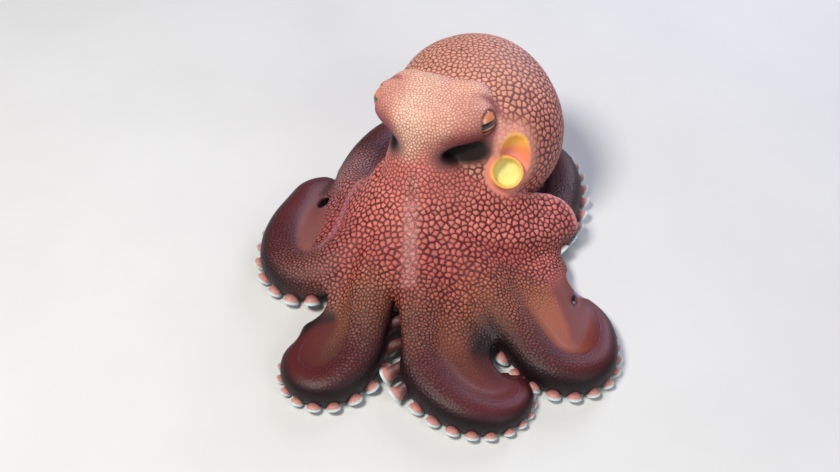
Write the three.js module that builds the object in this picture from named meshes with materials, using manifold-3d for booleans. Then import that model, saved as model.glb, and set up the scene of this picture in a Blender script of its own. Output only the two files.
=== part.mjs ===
// Veined octopus (Amphioctopus marginatus), adult, sitting on a flat bottom
// with its arms curled round it.  Millimetres, +Z up, head towards -Y and the
// body sac towards +Y, so +X is the animal's own left.  The finished group
// stands on z = 0 with its origin under the middle of its bounding box.

import * as THREE from 'three';
import { mergeVertices } from 'three/addons/utils/BufferGeometryUtils.js';
import Module from 'manifold-3d';

const wasm = await Module();
wasm.setup();

// ---------------------------------------------------------------- dimensions
const GAP = 0.3;               // clearance between neighbouring pieces
const RAD = Math.PI / 180;

// Body sac (mantle): an egg lying back from the head.
const MANTLE = { at: [-4.5, 49.4, 29.8], axes: [27.2, 30.1, 23.8], blunt: 2.15, yaw: 42, pitch: 15 };
// Head: a rounded block with a raised mound round each eye.
const HEAD = { at: [-13.8, 30.5, 40.5], axes: [14.8, 11.5, 13], blunt: 2.5 };
const BROW = { at: [-13.4, 37, 46.8], axes: [17.4, 6.5, 6.5], blunt: 2.4 };
const MOUND = { out: 11.4, at: [-13.5, 30.8, 45.2], axes: [7.2, 8.2, 8.2] };
// Eyes: balls let into the mounds, looking out sideways and a little forward.
const EYE = { radius: 5, out: 14.7, y: 31.2, z: 46.6, sides: 12, rings: 7 };
// Funnel: a short flared spout on the left side of the neck.
const FUNNEL = { foot: [8.6, 31.2, 27.6], mouth: [12.4, 24.4, 34.6], rootR: 6.2,
  lipR: 5.6, boreR: 4.6, depth: 3.2, sides: 14 };
// Crown: the raised middle where the arms and the web come together.
const CROWN = { at: [-12, 15], profile: [[0, 2.5], [23, 2.5], [23.5, 17],
  [20, 21], [14.5, 27.5], [10.5, 33.5], [0, 37]], sides: 18, oval: 0.95, shoulder: 17, lean: 0.38 };

// Arms.  Each centre line starts at `start`, keeps to the ground plane and
// turns through `head` (compass headings in degrees, evenly spaced along it).
// `r0` is the half width at the root; `lift` raises the root above the floor
// and fades out over the length `drop`.  `side` is the outer side of the curl.
const ARMS = {
  r1: { start: [-14, 6], length: 90, head: [-103, -97, -84, -72, -90, -133, -212, -274, -329], r0: 7.2, lift: 11, drop: 46, side: 1 },
  l1: { start: [-9, 6], length: 96.5, head: [-71, -70, -74, -71, -42, -16, 25, 92, 186], r0: 7.2, lift: 11, drop: 46, side: -1 },
  l2: { start: [-5, 8], length: 100, head: [-26, -31, -33, -37, -39, 18, 90, 113, 140], r0: 7.2, lift: 11, drop: 50, side: -1 },
  l3: { start: [-2, 15], length: 93, head: [-19, 10, 46, 73, 89, 100, 117, 141, 170], r0: 7.0, lift: 10, drop: 52, side: -1 },
  l4: { start: [-7, 22], length: 62, head: [59, 62, 63, 59, 57, 66, 97, 142, 216], r0: 5.6, lift: 1, drop: 16, side: -1 },
  r2: { start: [-19, 9], length: 95.4, head: [-134, -118, -123, -148, -205, -243, -260, -271, -267, -314, -505], r0: 7.0, lift: 10, drop: 42, side: 1 },
  r3: { start: [-19, 16], length: 86.5, head: [-170, -200, -235, -261, -274, -282, -302, -335, -336], r0: 6.6, lift: 9, drop: 40, side: 1 },
  r4: { start: [-17, 22], length: 66, head: [117, 114, 107, 95, 81, 66, 47, 21, -21], r0: 5.6, lift: 1, drop: 16, side: 1 },
};
const TIP_R = 1.2;             // half width at the very tip
const TAPER = 3.5;             // power of the taper along the arm
const SINK = 0.8;              // centre line height, in half widths
const TALL = 0.92;             // half height, in half widths
const FULL = 2.3;              // roundness of the arm's section
const ARM_SIDES = 8;
const ARM_STEP = 7.4;          // longest ring of facets
const ARM_TURN = 26;           // most degrees that one ring turns through
const LENGTHS = {              // where each arm is divided, in fractions
  visible: [['base', 0.12, 0.42], ['bend', 0.42, 0.64], ['curl', 0.64, 0.84], ['tip', 0.84, 1]],
  hidden: [['base', 0.12, 0.45], ['bend', 0.45, 0.75], ['tip', 0.75, 1]],
};

// Suckers of the outer row, joined to the arm they grow from.
const SUCKER = { radius: 0.37, height: 0.42, out: 0.92, pitch: 1.05, sides: 6, from: 0.36, to: 0.92, least: 2,
  hidden: ['l4', 'r4'] };

// Web: a sheet ruled from one arm's crest to the next one's, closed below.
// [arm, from, to, next arm, from, to, sag]; the first arm's curl is filled.
const WEB = {
  web_front: ['r1', 14, 24, 'l1', 14, 24, 0],
  web_l1_l2: ['l1', 14, 88, 'l2', 14, 33, 1.2],
  web_l2_l3: ['l2', 16, 90, 'l3', 16, 34, 1.6],
  web_l3_l4: ['l3', 14, 60, 'l4', 8, 30, 2],
  web_back: ['l4', 8, 26, 'r4', 8, 26, 1],
  web_r3_r4: ['r3', 12, 56, 'r4', 8, 30, 2],
  web_r2_r3: ['r2', 12, 76, 'r3', 12, 30, 1.4],
  web_r1_r2: ['r1', 16, 76, 'r2', 15, 30, 1.4],
};
// Fold of web bunched up below the funnel: its upper margin, its foot on the
// web in front, and how far down it is filled.
const FOLD = { low: 9,
  top: [[-8, 16.5, 35.5], [5, 20.5, 31.5], [13, 24.6, 26.4], [20.5, 33.2, 20.8], [29, 37.6, 15.6], [35.5, 33.2, 10.4]],
  foot: [[-9, 8, 28], [4, 7.5, 23.5], [13, 10.5, 20.4], [22, 15.5, 17], [30, 23, 13.2], [34.6, 30, 10.2]] };

const WEB_UNDER = 0.3;         // underside below the arm's centre line, in half widths
const WEB_DROP = 0.25;         // web top below the arm's crest, in half widths

// ------------------------------------------------------------------- helpers
function merged(geometry) {
  const g = geometry.clone();
  g.deleteAttribute('normal');
  if (g.attributes.uv) g.deleteAttribute('uv');
  return mergeVertices(g, 1e-4);
}

function solid(geometry) {
  const g = merged(geometry);
  return new wasm.Manifold(new wasm.Mesh({
    numProp: 3,
    vertProperties: new Float32Array(g.attributes.position.array),
    triVerts: new Uint32Array(g.index.array),
  }));
}

function bent(geometry, fn) {
  const g = merged(geometry);
  const p = g.attributes.position;
  const v = new THREE.Vector3();
  for (let i = 0; i < p.count; i++) {
    v.fromBufferAttribute(p, i);
    const q = fn(v);
    p.setXYZ(i, q[0], q[1], q[2]);
  }
  return g;
}

const smooth = (t) => { const c = Math.min(1, Math.max(0, t)); return c * c * (3 - 2 * c); };

// A rounded body: a sphere whose directions are squared off by `blunt`.
function body({ at, axes, blunt = 2, yaw = 0, pitch = 0 }, sides, rings, grow = 0) {
  const turn = new THREE.Euler(pitch * RAD, 0, yaw * RAD, 'ZYX'), p = new THREE.Vector3();
  return solid(bent(new THREE.SphereGeometry(1, sides, rings), (v) => {
    const x = v.x, y = -v.z, z = v.y;                 // pole to +Z
    const k = (Math.abs(x) ** blunt + Math.abs(y) ** blunt + Math.abs(z) ** blunt) ** (-1 / blunt);
    p.set(x * k * (axes[0] + grow), y * k * (axes[1] + grow), z * k * (axes[2] + grow)).applyEuler(turn);
    return [at[0] + p.x, at[1] + p.y, at[2] + p.z];
  }));
}

// ---------------------------------------------------------------------- arms
function armLine(a) {
  const n = 400, xs = [a.start[0]], ys = [a.start[1]];
  const heading = (s) => {
    const f = Math.min(Math.max(s / a.length, 0), 1) * (a.head.length - 1);
    const i = Math.min(Math.floor(f), a.head.length - 2);
    return (a.head[i] + (a.head[i + 1] - a.head[i]) * (f - i)) * RAD;
  };
  const ds = a.length / n;
  for (let i = 1; i <= n; i++) {
    const h0 = heading((i - 1) * ds), h1 = heading(i * ds);
    xs.push(xs[i - 1] + (Math.cos(h0) + Math.cos(h1)) * ds / 2);
    ys.push(ys[i - 1] + (Math.sin(h0) + Math.sin(h1)) * ds / 2);
  }
  return (s) => {
    const f = Math.min(Math.max(s / ds, 0), n), i = Math.min(Math.floor(f), n - 1), t = f - i;
    const h = heading(s);
    const r = TIP_R + (a.r0 - TIP_R) * (1 - (Math.min(s, a.length) / a.length) ** TAPER);
    return {
      x: xs[i] + (xs[i + 1] - xs[i]) * t, y: ys[i] + (ys[i + 1] - ys[i]) * t,
      z: SINK * r + a.lift * (1 - smooth(s / a.drop)), r, nx: -Math.sin(h), ny: Math.cos(h),
    };
  };
}
const LINES = Object.fromEntries(Object.entries(ARMS).map(([k, a]) => [k, armLine(a)]));

// How far an arm turns between two places along it, in degrees.
function turned(key, s0, s1) {
  let sum = 0, last = null;
  for (let i = 0; i <= 24; i++) {
    const c = LINES[key](s0 + (s1 - s0) * i / 24), h = Math.atan2(-c.nx, c.ny) / RAD;
    if (last !== null) sum += Math.abs(((h - last + 540) % 360) - 180);
    last = h;
  }
  return sum;
}

// One length of an arm between s0 and s1, with flat ends and a flat sole.
function armLength(key, s0, s1, grow = 0) {
  const line = LINES[key];
  const steps = Math.max(2, Math.round((s1 - s0) / ARM_STEP), Math.round(turned(key, s0, s1) / ARM_TURN));
  return solid(bent(new THREE.CylinderGeometry(1, 1, 1, ARM_SIDES, steps, false, Math.PI / ARM_SIDES), (v) => {
    const c = line(s0 + (0.5 - v.y) * (s1 - s0));
    const m = Math.hypot(v.x, v.z);
    const k = m < 1e-6 ? 0 : (Math.abs(v.x / m) ** FULL + Math.abs(v.z / m) ** FULL) ** (-1 / FULL);
    const u = m < 1e-6 ? 0 : (v.x / m) * k, w = m < 1e-6 ? 0 : (v.z / m) * k;
    const side = u * (c.r + grow), up = w * (TALL * c.r + grow);
    return [c.x + c.nx * side, c.y + c.ny * side, grow > 0 ? c.z + up : Math.max(0, c.z + up)];
  }));
}

function suckers(key, s0, s1, grow = 0) {
  const a = ARMS[key], line = LINES[key], out = [];
  if (SUCKER.hidden.includes(key)) return out;
  let s = a.length * SUCKER.from;
  while (s < a.length * SUCKER.to) {
    const c = line(s), R = SUCKER.radius * c.r;
    if (s > s0 + R && s < s1 - R && 2 * R > SUCKER.least) {
      const h = SUCKER.height * c.r, low = Math.max(0, c.z - SINK * c.r);
      const cup = new THREE.CylinderGeometry(R * 0.86 + grow, R + grow, h + 2 * grow, SUCKER.sides);
      cup.rotateX(Math.PI / 2);
      const off = a.side * c.r * SUCKER.out;
      cup.translate(c.x + c.nx * off, c.y + c.ny * off, low + h / 2);
      out.push(solid(cup));
    }
    s += SUCKER.pitch * c.r;
  }
  return out;
}

// ----------------------------------------------------------------------- web
function webSheet([ka, a0, a1, kb, b0, b1, sag]) {
  const A = LINES[ka], B = LINES[kb];
  const pa = A(a0), pb = B(b0);
  // Which side of the first arm the next one lies on, so the faces point out.
  const hand = Math.sign((pb.x - pa.x) * pa.nx + (pb.y - pa.y) * pa.ny);
  const rows = Math.max(3, Math.round((a1 - a0) / 11)), cols = 2;
  return solid(bent(new THREE.BoxGeometry(1, 1, 1, rows, cols, 1), (v) => {
    const t = v.x + 0.5, k = 0.5 + hand * v.y;
    const p = A(a0 + (a1 - a0) * t), q = B(b0 + (b1 - b0) * t);
    const zp = p.z + (TALL - WEB_DROP) * p.r, zq = q.z + (TALL - WEB_DROP) * q.r;
    const top = zp + (zq - zp) * k - sag * 4 * k * (1 - k) * t;
    const under = p.z - WEB_UNDER * p.r + (q.z - WEB_UNDER * q.r - p.z + WEB_UNDER * p.r) * k;
    return [p.x + (q.x - p.x) * k, p.y + (q.y - p.y) * k, v.z > 0 ? Math.max(top, under + 1) : under];
  }));
}

// The fold: a sheet ruled from its foot to its upper margin, filled below.
function foldSheet(grow = 0) {
  const n = FOLD.top.length - 1, at = (pts, t) => {
    const f = Math.min(Math.max(t, 0), 1) * n, i = Math.min(Math.floor(f), n - 1);
    return pts[i].map((c, a) => c + (pts[i + 1][a] - c) * (f - i));
  };
  return solid(bent(new THREE.BoxGeometry(1, 1, 1, n, 1, 1), (v) => {
    const t = v.x + 0.5, k = 0.5 - v.y, p = at(FOLD.top, t), q = at(FOLD.foot, t);
    const x = p[0] + (q[0] - p[0]) * k, y = p[1] + (q[1] - p[1]) * k, z = p[2] + (q[2] - p[2]) * k;
    return [x, y + grow * Math.sign(v.y), v.z > 0 ? z + grow : FOLD.low - grow];
  }));
}

// -------------------------------------------------------------------- pieces
const crownAt = (grow) => {
  const pts = CROWN.profile.map(([r, z], i) => new THREE.Vector2(
    r > 0 ? r + grow : 0, z + (i < 2 ? -grow : grow * (r < 23 ? 1 : 0))));
  const g = new THREE.LatheGeometry(pts, CROWN.sides);
  g.rotateX(Math.PI / 2);
  g.scale(1, CROWN.oval, 1);
  g.translate(CROWN.at[0], CROWN.at[1], 0);
  // Above its shoulder the crown leans back to meet the head.
  return solid(bent(g, (v) => [v.x, v.y + CROWN.lean * Math.max(0, v.z - CROWN.shoulder), v.z]))
    .add(foldSheet(grow));
};

const moundAt = (s, grow) => body({
  at: [MOUND.at[0] + s * MOUND.out, MOUND.at[1], MOUND.at[2]], axes: MOUND.axes }, 9, 6, grow);

const eyeAt = (s, grow) => {
  const g = new THREE.SphereGeometry(EYE.radius + grow, EYE.sides, EYE.rings);
  g.rotateZ(Math.PI / 2);
  g.translate(MOUND.at[0] + s * EYE.out, EYE.y, EYE.z);
  return solid(g);
};

const headAt = (grow) => body(HEAD, 14, 8, grow)
  .add(body(BROW, 10, 5, grow)).add(moundAt(-1, grow)).add(moundAt(1, grow));

function funnelAt(grow) {
  const foot = new THREE.Vector3(...FUNNEL.foot), mouth = new THREE.Vector3(...FUNNEL.mouth);
  const L = foot.distanceTo(mouth), f = FUNNEL, v = (x, y) => new THREE.Vector2(x, y);
  const pts = grow > 0
    ? [v(0, -grow), v(f.rootR + grow, -grow), v(f.rootR * 0.82 + grow, L * 0.45), v(f.lipR + grow, L + grow), v(0, L + grow)]
    : [v(0, 0), v(f.rootR, 0), v(f.rootR * 0.82, L * 0.45), v(f.lipR, L), v(f.boreR, L), v(f.boreR * 0.8, L - f.depth), v(0, L - f.depth)];
  const g = new THREE.LatheGeometry(pts, f.sides);
  g.applyQuaternion(new THREE.Quaternion().setFromUnitVectors(
    new THREE.Vector3(0, 1, 0), mouth.clone().sub(foot).normalize()));
  g.translate(...f.foot);
  return solid(g);
}

const pieces = [];
const put = (name, shape, look) => pieces.push([name, shape, look]);
const LOOK = {
  head: [0xd9a79a, 0.45], mantle: [0xc08a78, 0.5], funnel: [0xf2d85a, 0.4],
  eye: [0x2a1a12, 0.15], crown: [0xc5776a, 0.5], web: [0xb8665c, 0.5], arm: [0x7c3038, 0.45],
};

const eyes = { eye_right: eyeAt(-1, 0), eye_left: eyeAt(1, 0) };
const eyesGrown = eyeAt(-1, GAP).add(eyeAt(1, GAP));
const headGrown = headAt(GAP);
const funnelGrown = funnelAt(GAP);
const mantleGrown = body(MANTLE, 19, 10, GAP);
const crownGrown = crownAt(GAP);

put('head', headAt(0).subtract(eyesGrown), 'head');
put('eye_right', eyes.eye_right, 'eye');
put('eye_left', eyes.eye_left, 'eye');
put('funnel', funnelAt(0).subtract(headGrown), 'funnel');
put('mantle', body(MANTLE, 19, 10).subtract(headGrown).subtract(eyesGrown).subtract(funnelGrown), 'mantle');
put('crown', crownAt(0).subtract(headGrown).subtract(mantleGrown).subtract(funnelGrown), 'crown');

const core = crownGrown.add(mantleGrown).add(headGrown).add(funnelGrown);
const spans = (key) => {
  const L = ARMS[key].length, parts = key.endsWith('4') || key === 'r3' ? LENGTHS.hidden : LENGTHS.visible;
  return parts.map(([part, f0, f1], i) => [part, L * f0, L * f1 - (i < parts.length - 1 ? GAP : 0)]);
};

// Everything an arm must be kept clear of by its neighbours: its lengths and
// its suckers, each thickened by the gap.
const grownArms = {};
for (const key of Object.keys(ARMS)) {
  grownArms[key] = spans(key).flatMap(([, s0, s1]) => [armLength(key, s0, s1, GAP), ...suckers(key, s0, s1, GAP)])
    .reduce((a, b) => a.add(b));
}

const before = [];
for (const key of Object.keys(ARMS)) {
  spans(key).forEach(([part, s0, s1], i) => {
    let shape = armLength(key, s0, s1);
    for (const cup of suckers(key, s0, s1)) shape = shape.add(cup);
    if (i < 2) shape = shape.subtract(core);
    for (const other of before) shape = shape.subtract(grownArms[other]);
    put(`arm_${key}_${part}`, shape, 'arm');
  });
  before.push(key);
}

for (const [name, spec] of Object.entries(WEB)) {
  let shape = webSheet(spec).subtract(core);
  for (const key of Object.keys(ARMS)) shape = shape.subtract(grownArms[key]);
  put(name, shape, 'web');
}

// --------------------------------------------------------------------- group
const octopus = new THREE.Group();
octopus.name = 'octopus';
const box = new THREE.Box3();
for (const [name, shape, look] of pieces) {
  const m = shape.getMesh();
  const g = new THREE.BufferGeometry();
  g.setAttribute('position', new THREE.BufferAttribute(new Float32Array(m.vertProperties), 3));
  g.setIndex(new THREE.BufferAttribute(new Uint32Array(m.triVerts), 1));
  g.computeVertexNormals();
  const [color, roughness] = LOOK[look];
  const mesh = new THREE.Mesh(g, new THREE.MeshStandardMaterial({ color, roughness, metalness: 0 }));
  mesh.name = name;
  octopus.add(mesh);
  g.computeBoundingBox();
  box.union(g.boundingBox);
}
octopus.position.set(-(box.min.x + box.max.x) / 2, -(box.min.y + box.max.y) / 2, -box.min.z);

export default octopus;
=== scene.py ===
# The looks of a veined octopus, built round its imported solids.
# Lengths inside this script are millimetres in the solids' own drawing
# coordinates; everything is moved to the row frame in metres when it is made.
import math
import time

import bpy
import numpy as np
from mathutils import Matrix, Vector, kdtree


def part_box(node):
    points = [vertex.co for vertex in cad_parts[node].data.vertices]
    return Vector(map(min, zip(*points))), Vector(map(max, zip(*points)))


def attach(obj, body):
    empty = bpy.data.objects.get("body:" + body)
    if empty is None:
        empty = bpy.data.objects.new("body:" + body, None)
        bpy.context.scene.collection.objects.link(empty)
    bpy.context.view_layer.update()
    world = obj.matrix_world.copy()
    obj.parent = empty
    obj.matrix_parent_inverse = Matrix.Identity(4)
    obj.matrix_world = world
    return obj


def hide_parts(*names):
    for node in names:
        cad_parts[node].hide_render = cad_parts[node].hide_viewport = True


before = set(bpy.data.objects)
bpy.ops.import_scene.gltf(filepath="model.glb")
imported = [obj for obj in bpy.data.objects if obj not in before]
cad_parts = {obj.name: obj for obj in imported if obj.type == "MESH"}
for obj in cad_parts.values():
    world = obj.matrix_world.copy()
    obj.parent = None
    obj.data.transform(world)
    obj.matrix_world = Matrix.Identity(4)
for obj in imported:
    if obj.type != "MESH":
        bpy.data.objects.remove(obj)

T0 = time.time()
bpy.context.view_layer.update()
H = 0.45          # grid of the skin
EYE_C = np.array([[-28.2, 31.2, 46.6], [1.2, 31.2, 46.6]])   # right, left
_lo, _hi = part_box("eye_left")
SHIFT = (np.array(_lo) + np.array(_hi)) * 500.0 - EYE_C[1]
RNG = np.random.default_rng(7)


def row(p):
    return (np.asarray(p, float) + SHIFT) * 0.001


def smooth(t):
    t = np.clip(t, 0.0, 1.0)
    return t * t * (3 - 2 * t)


def ramp(x, a, b):
    return smooth((np.asarray(x, float) - a) / (b - a))


# --------------------------------------------------------------- dimensions
ARMS = {
    "r1": dict(start=(-14, 6), length=90, head=(-103, -97, -84, -72, -90, -133, -212, -274, -329), r0=7.2, lift=11, drop=46, side=1),
    "l1": dict(start=(-9, 6), length=96.5, head=(-71, -70, -74, -71, -42, -16, 25, 92, 186), r0=7.2, lift=11, drop=46, side=-1),
    "l2": dict(start=(-5, 8), length=100, head=(-26, -31, -33, -37, -39, 18, 90, 113, 140), r0=7.2, lift=11, drop=50, side=-1),
    "l3": dict(start=(-2, 15), length=93, head=(-19, 10, 46, 73, 89, 100, 117, 141, 170), r0=7.0, lift=10, drop=52, side=-1),
    "l4": dict(start=(-7, 22), length=62, head=(59, 62, 63, 59, 57, 66, 97, 142, 216), r0=5.6, lift=1, drop=16, side=-1),
    "r2": dict(start=(-19, 9), length=95.4, head=(-134, -118, -123, -148, -205, -243, -260, -271, -267, -314, -505), r0=7.0, lift=10, drop=42, side=1),
    "r3": dict(start=(-19, 16), length=86.5, head=(-170, -200, -235, -261, -274, -282, -302, -335, -336), r0=6.6, lift=9, drop=40, side=1),
    "r4": dict(start=(-17, 22), length=66, head=(117, 114, 107, 95, 81, 66, 47, 21, -21), r0=5.6, lift=1, drop=16, side=1),
}
KEYS = list(ARMS)
TIP_R, TAPER, SINK, TALL, FULL = 1.2, 3.5, 0.8, 0.92, 2.3
# Web: arm, from, to, next arm, from, to, sag, and round notches in its margin
# (centre, half widths).
WEBS = [
    ("r1", 8, 23, "l1", 8, 23, -0.6, []),
    ("l1", 8, 88, "l2", 8, 36, 2.4, [((31.6, -21.8), (7.2, 7.4))]),
    ("l2", 8, 92, "l3", 8, 36, 2.6, [((44.4, 17.0), (7.2, 7.4)), ((42.4, 5.0), (0.3, 0.6))]),
    ("l3", 12, 60, "l4", 8, 30, 2.8, []),
    ("l4", 8, 26, "r4", 8, 26, 1.0, []),
    ("r3", 12, 56, "r4", 8, 30, 2.6, []),
    ("r2", 8, 80, "r3", 8, 32, 2.4, [((-47.8, 17.8), (1.5, 2.6))]),
    ("r1", 8, 80, "r2", 8, 32, 2.4, [((-36.4, -24.6), (7.6, 7.4))]),
]
# Fold of web bunched up under the funnel: its upper margin and its foot.
COLLAR_TOP = [(-8, 16.5, 35.5), (-1, 19, 34.5), (5, 20.5, 32), (9, 22, 29.2), (13, 24.6, 26.8), (17, 28.5, 24.4), (20.5, 33.2, 21.2),
              (24.5, 36.8, 18.4), (29, 38.0, 16.0), (33.2, 36.4, 13.6), (36, 33.2, 10.5)]
COLLAR_FOOT = [(-9, 8, 28.5), (-3, 7, 26.2), (4, 7.5, 24), (10, 9, 21.6), (15, 11.5, 19.8), (20, 14, 18), (24, 17.5, 16.2),
               (28, 21, 14.4), (31, 24.5, 13), (33.5, 28, 11.8), (35, 30.5, 10.2)]


class Line:
    """An arm's centre line, sampled along its length."""

    def __init__(self, key, step=0.25):
        a = ARMS[key]
        self.L, self.side, self.key = a["length"], a["side"], key
        n = int(round(a["length"] / step))
        self.s = np.linspace(0, a["length"], n + 1)
        f = self.s / a["length"] * (len(a["head"]) - 1)
        h = np.radians(np.interp(f, np.arange(len(a["head"])), a["head"]))
        ds = a["length"] / n
        c, s_ = np.cos(h), np.sin(h)
        self.x = a["start"][0] + np.concatenate([[0], np.cumsum((c[1:] + c[:-1]) * ds / 2)])
        self.y = a["start"][1] + np.concatenate([[0], np.cumsum((s_[1:] + s_[:-1]) * ds / 2)])
        self.r = TIP_R + (a["r0"] - TIP_R) * (1 - (self.s / a["length"]) ** TAPER)
        self.lift = a["lift"] * (1 - smooth(self.s / a["drop"]))
        self.z = SINK * self.r + self.lift
        self.tx, self.ty, self.nx, self.ny = c, s_, -s_, c

    def at(self, s):
        g = lambda v: np.interp(s, self.s, v)
        return {k: g(getattr(self, k)) for k in ("x", "y", "z", "r", "nx", "ny", "tx", "ty", "lift")}


LINES = {k: Line(k) for k in KEYS}

# -------------------------------------------------------------------- fields
LO = np.array([-66.0, -62.0, -1.35])
HI = np.array([65.0, 82.5, 57.5])
N = np.ceil((HI - LO) / H).astype(int) + 1
GX, GY, GZ = (LO[i] + H * np.arange(N[i]) for i in range(3))
FAR = 9.0


def cut(lo, hi):
    """The block of the grid between two corners."""
    a = np.clip(np.floor((np.asarray(lo, float) - LO) / H).astype(int), 0, N - 1)
    b = np.clip(np.ceil((np.asarray(hi, float) - LO) / H).astype(int) + 1, 1, N)
    return tuple(slice(i, j) for i, j in zip(a, b))


def smin(a, b, k):
    h = np.clip(0.5 + 0.5 * (b - a) / k, 0, 1)
    return b + (a - b) * h - k * h * (1 - h)


def smax(a, b, k):
    return -smin(-a, -b, k)


def arm_map(key):
    """In plan: the place along the arm nearest each column of the grid."""
    ln = LINES[key]
    d = np.full((N[0], N[1]), 60.0, np.float32)
    s = np.zeros_like(d)
    u = np.zeros_like(d)
    m = 15.0
    bx = cut((ln.x.min() - m - 7, ln.y.min() - m - 7, 0), (ln.x.max() + m + 7, ln.y.max() + m + 7, 1))[:2]
    xs, ys = GX[bx[0]], GY[bx[1]]
    for i0 in range(0, len(xs), 40):
        xx, yy = np.meshgrid(xs[i0:i0 + 40], ys, indexing="ij")
        dx = xx[..., None] - ln.x
        dy = yy[..., None] - ln.y
        i = np.argmin(np.hypot(dx, dy) - ln.r, -1)
        ex, ey = xx - ln.x[i], yy - ln.y[i]
        along = np.clip(ex * ln.tx[i] + ey * ln.ty[i], -0.125, 0.125)
        sl = (slice(bx[0].start + i0, bx[0].start + i0 + xx.shape[0]), bx[1])
        s[sl] = np.clip(ln.s[i] + along, 0, ln.L)
        u[sl] = ex * ln.nx[i] + ey * ln.ny[i]
        d[sl] = np.hypot(ex - along * ln.tx[i], ey - along * ln.ty[i])
    return dict(d=d, s=s, u=u, box=bx, r=np.interp(s, ln.s, ln.r).astype(np.float32), z=np.interp(s, ln.s, ln.z).astype(np.float32))


MAPS = {k: arm_map(k) for k in KEYS}
print("arm maps", round(time.time() - T0, 1))


def arm_field(key, bx):
    m = MAPS[key]
    r, zc = m["r"][bx[:2]], m["z"][bx[:2]]
    side = (m["d"][bx[:2]] / r) ** FULL
    w = np.abs(GZ[bx[2]][None, None, :] - zc[..., None]) / (TALL * r)[..., None]
    f = (side[..., None] + w.astype(np.float32) ** FULL) ** (1 / FULL)
    return ((f - 1) * (0.95 * r)[..., None]).astype(np.float32)


def blur2(a, n):
    for _ in range(n):
        for ax in (0, 1):
            p = np.pad(a, [(1, 1) if i == ax else (0, 0) for i in range(2)], mode="edge")
            sl = [slice(None)] * 2
            lo, hi = list(sl), list(sl)
            lo[ax], hi[ax] = slice(0, -2), slice(2, None)
            a = 0.5 * a + 0.25 * (p[tuple(lo)] + p[tuple(hi)])
    return a


def web_map(spec):
    """A sheet ruled from one arm's crest to the next one's, as heights over the plan."""
    ka, a0, a1, kb, b0, b1, sag, notches = spec
    nt, nk = int(max(a1 - a0, b1 - b0) / H * 5), int(60 / H * 1.6)
    t = np.linspace(0, 1, nt)[:, None]
    k = np.linspace(0, 1, nk)[None, :]
    p, q = LINES[ka].at(a0 + (a1 - a0) * t), LINES[kb].at(b0 + (b1 - b0) * t)
    late = smooth((t - 0.12) / 0.55)
    drop = 0.04 + 0.34 * late
    zp, zq = p["z"] + (TALL - drop) * p["r"], q["z"] + (TALL - drop) * q["r"]
    x, y = p["x"] + (q["x"] - p["x"]) * k, p["y"] + (q["y"] - p["y"]) * k
    top = zp + (zq - zp) * k - (sag * late - 0.5 * (1 - late)) * 4 * k * (1 - k)
    low = (p["z"] - 0.3 * p["r"]) * (1 - k) + (q["z"] - 0.3 * q["r"]) * k
    return sheet_map(x, y, top, low, nt, nk, notches)


def collar_map():
    nt, nk = int(90 / H * 3), int(30 / H * 2)
    t = np.linspace(0, 1, nt)[:, None]
    k = np.linspace(0, 1, nk)[None, :]
    def line(pts):
        pts = np.array(pts, float)
        d = np.concatenate([[0], np.cumsum(np.linalg.norm(np.diff(pts, axis=0), axis=1))])
        return [np.interp(t[:, 0] * d[-1], d, pts[:, i])[:, None] for i in range(3)]
    (x0, y0, z0), (x1, y1, z1) = line(COLLAR_TOP), line(COLLAR_FOOT)
    x, y = x0 + (x1 - x0) * k, y0 + (y1 - y0) * k
    top = z0 + (z1 - z0) * k + 0.9 * 4 * k * (1 - k)
    return sheet_map(x, y, top, np.full_like(top, 5.0), nt, nk, [], thin_edge=False)


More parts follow.
